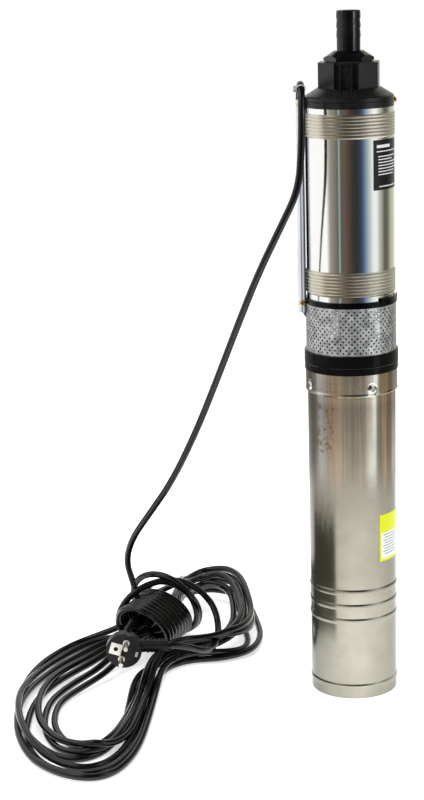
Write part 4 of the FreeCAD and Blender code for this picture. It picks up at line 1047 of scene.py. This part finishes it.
studio = {
    "worldLight": 0.55,
    "floor": {"size": 60.0, "height": -0.0002, "grey": 0.9, "roughness": 0.9, "glow": 0.56},
    "ringSides": 120,
    "ringRadius": 0.8,
    "ringTop": 1.3,
    "ringGlow": 1.08,
    # colours round the ring by angle (0 faces the camera, towards +X positive)
    "ring": [(-180, "ffffff"), (-152, "f4f4f0"), (-146, "9a9888"), (-138, "8a8878"), (-134, "ffffff"),
             (-66, "ffffff"), (-62, "d8d5cd"), (-58, "a19c90"), (-50, "8a857a"), (-42, "7b756b"),
             (-37, "6b675f"), (-34, "30363a"), (-32.5, "a3b8bd"), (-30, "8fa1a6"), (-28, "55544f"),
             (-19, "66554a"), (-9, "54463d"), (2, "363430"), (14, "2c302f"), (22, "37424a"),
             (26, "33496f"), (31, "566d8f"), (37, "8396a5"), (46, "b4bfc2"), (56, "e4eae6"),
             (66, "eef2ee"), (74, "c0c2bd"), (84, "979a8c"), (94, "56584b"), (108, "6b6b5e"),
             (120, "b0b0a2"), (180, "f0f0e8")],
    # and up its foot, in metres, where the motor tube mirrors it
    "foot": [(0.0, "f9f7f3"), (0.07, "d6d4cf"), (0.12, "aba59e"), (0.19, "a29a91")],
    "footTop": 0.2,
    "footBlend": 0.02,
    "footGap": (50.0, 66.0),
    "ceiling": {"height": 1.3, "radius": 1.6, "sides": 64, "colour": "1c1d1f"},
    "panel": {"place": (-0.6, -0.3, 1.28), "size": (0.35, 0.9), "glow": 3.0},
    # a grey card, seen only in reflections where the hank lies, painting a dark reflection on the motor
    # tube's foot, and a window that draws a line down the spigot
    "cards": [
        # painted reflection of the hank
        {"radius": 0.2, "angles": (-120.0, -47.0), "heights": (0.01, 0.15), "colour": "6f6e66", "glow": 1.0},
        {"radius": 0.75, "angles": (44.0, 56.0), "heights": (0.64, 0.8), "colour": "ffffff", "glow": 7.0},
    ],
    # their tops are ragged: steps, depth and two wave rates by degrees
    "cardSteps": 40,
    "cardRag": 0.03,
    "cardWaves": (1.9, 0.7),
    "lampAim": (-0.1, 0.0, 0.3),
}

lamps = [
    # name, place, power in watts, width and height in metres
    ("keySoftbox", (-1.5, -1.3, 1.5), 26.0, (0.9, 1.4)),
    ("fillSoftbox", (1.6, -1.0, 1.1), 16.0, (0.8, 1.4)),
    ("topSoftbox", (-0.1, 0.5, 2.2), 22.0, (1.6, 1.2)),
]


def cameraSees(tree):
    # 1 for rays that show the background: straight from the camera, mirrored or through glass
    path = addNode(tree, "ShaderNodeLightPath")
    mirrored = addMath(tree, "MAXIMUM", path.outputs["Is Camera Ray"], path.outputs["Is Glossy Ray"])
    return addMath(tree, "MAXIMUM", mirrored, path.outputs["Is Transmission Ray"])


def makeWorld():
    world = bpy.data.worlds.new("studioWorld")
    scene.world = world
    world.use_nodes = True
    tree = world.node_tree
    ground = tree.nodes["Background"]
    ground.inputs["Color"].default_value = (1, 1, 1, 1)
    strength = addRange(tree, cameraSees(tree), (0.0, 1.0), (studio["worldLight"], 1.0))
    feed(tree, ground.inputs["Strength"], strength)


def makeFloor():
    f = studio["floor"]
    bpy.ops.mesh.primitive_plane_add(size=f["size"], location=(0, 0, f["height"]))
    floor = bpy.context.object
    floor.name = "studioFloor"
    paper = bpy.data.materials.new("whitePaper")
    paper.use_nodes = True
    tree = paper.node_tree
    shader = tree.nodes["Principled BSDF"]
    shader.inputs["Base Color"].default_value = (f["grey"], f["grey"], f["grey"], 1)
    shader.inputs["Roughness"].default_value = f["roughness"]
    shader.inputs["Specular IOR Level"].default_value = 0.0
    shader.inputs["Emission Color"].default_value = (1, 1, 1, 1)
    feed(tree, shader.inputs["Emission Strength"], addMath(tree, "MULTIPLY", cameraSees(tree), f["glow"]))
    floor.data.materials.append(paper)


def onlyMirrored(piece):
    # seen in shiny surfaces and nowhere else
    piece.visible_camera = False
    piece.visible_diffuse = False
    piece.visible_shadow = False
    piece.visible_transmission = False


def glowPaint(name, colour, glow):
    paint = bpy.data.materials.new(name)
    paint.use_nodes = True
    shader = paint.node_tree.nodes["Principled BSDF"]
    shader.inputs["Base Color"].default_value = (0, 0, 0, 1)
    shader.inputs["Specular IOR Level"].default_value = 0.0
    shader.inputs["Emission Color"].default_value = hexColour(colour)
    shader.inputs["Emission Strength"].default_value = glow
    return paint, paint.node_tree, shader


def makeRing():
    # an open drum round the pump whose inside carries the colours that the polished tube mirrors
    s = studio
    bpy.ops.mesh.primitive_cylinder_add(vertices=s["ringSides"], radius=s["ringRadius"], depth=s["ringTop"],
                                        end_fill_type="NOTHING", location=(0, 0, s["ringTop"] / 2))
    ring = bpy.context.object
    ring.name = "studioRing"
    setHome(ring)
    paint, tree, shader = glowPaint("ringPaint", "ffffff", s["ringGlow"])
    place = addNode(tree, "ShaderNodeTexCoord").outputs["Object"]
    upper, turn, z = rampRound(tree, place, s["ring"])
    height = addRange(tree, z, (0.0, s["footTop"]), (0.0, 1.0))
    foot = addRamp(tree, height, [(level / s["footTop"], colour) for level, colour in s["foot"]])
    low, high = [math.radians(a) for a in s["footGap"]]
    gap = addMath(tree, "COMPARE", turn, (low + high) / 2, (high - low) / 2)
    lower = addMix(tree, gap, foot, "ffffff")
    rise = addRange(tree, z, (s["footTop"], s["footTop"] + s["footBlend"]), (0.0, 1.0))
    feed(tree, shader.inputs["Emission Color"], addMix(tree, rise, lower, upper))
    ring.data.materials.append(paint)
    onlyMirrored(ring)


def makeCeiling():
    # a dark ceiling with one panel, so that black plastic and cord show thin highlights
    c = studio["ceiling"]
    bpy.ops.mesh.primitive_circle_add(vertices=c["sides"], radius=c["radius"], fill_type="NGON",
                                      location=(0, 0, c["height"]))
    ceiling = bpy.context.object
    ceiling.name = "studioCeiling"
    ceiling.data.materials.append(glowPaint("ceilingPaint", c["colour"], 1.0)[0])
    onlyMirrored(ceiling)
    p = studio["panel"]
    bpy.ops.mesh.primitive_plane_add(size=1.0, location=p["place"])
    panel = bpy.context.object
    panel.name = "studioPanel"
    panel.scale = (*p["size"], 1.0)
    panel.data.materials.append(glowPaint("panelPaint", "ffffff", p["glow"])[0])
    onlyMirrored(panel)


def makeCard(c):
    # an upright strip of a ring round the pump
    bpy.ops.mesh.primitive_grid_add(x_subdivisions=studio["cardSteps"], y_subdivisions=1, size=1.0)
    card = bpy.context.object
    card.name = "studioCard"
    start, end = c["angles"]
    bottom, top = c["heights"]
    first, second = studio["cardWaves"]
    for v in card.data.vertices:
        turn = start + (v.co.x + 0.5) * (end - start)
        ragged = top + studio["cardRag"] * math.sin(turn * first) * math.sin(turn * second)
        v.co = roundBody(c["radius"], turn, bottom if v.co.y < 0 else ragged)
    card.data.materials.append(glowPaint("cardPaint", c["colour"], c["glow"])[0])
    onlyMirrored(card)


def makeLamps():
    for name, place, power, size in lamps:
        data = bpy.data.lights.new(name, "AREA")
        data.shape = "RECTANGLE"
        data.size = size[0]
        data.size_y = size[1]
        data.energy = power
        lamp = linkNew(name, data)
        lamp.location = place
        aim = Vector(studio["lampAim"]) - Vector(place)
        lamp.rotation_euler = aim.to_track_quat("-Z", "Y").to_euler()


makeWorld()
makeFloor()
makeRing()
makeCeiling()
for card in studio["cards"]:
    makeCard(card)
makeLamps()
scene.view_settings.view_transform = "Standard"
print("studio ready")
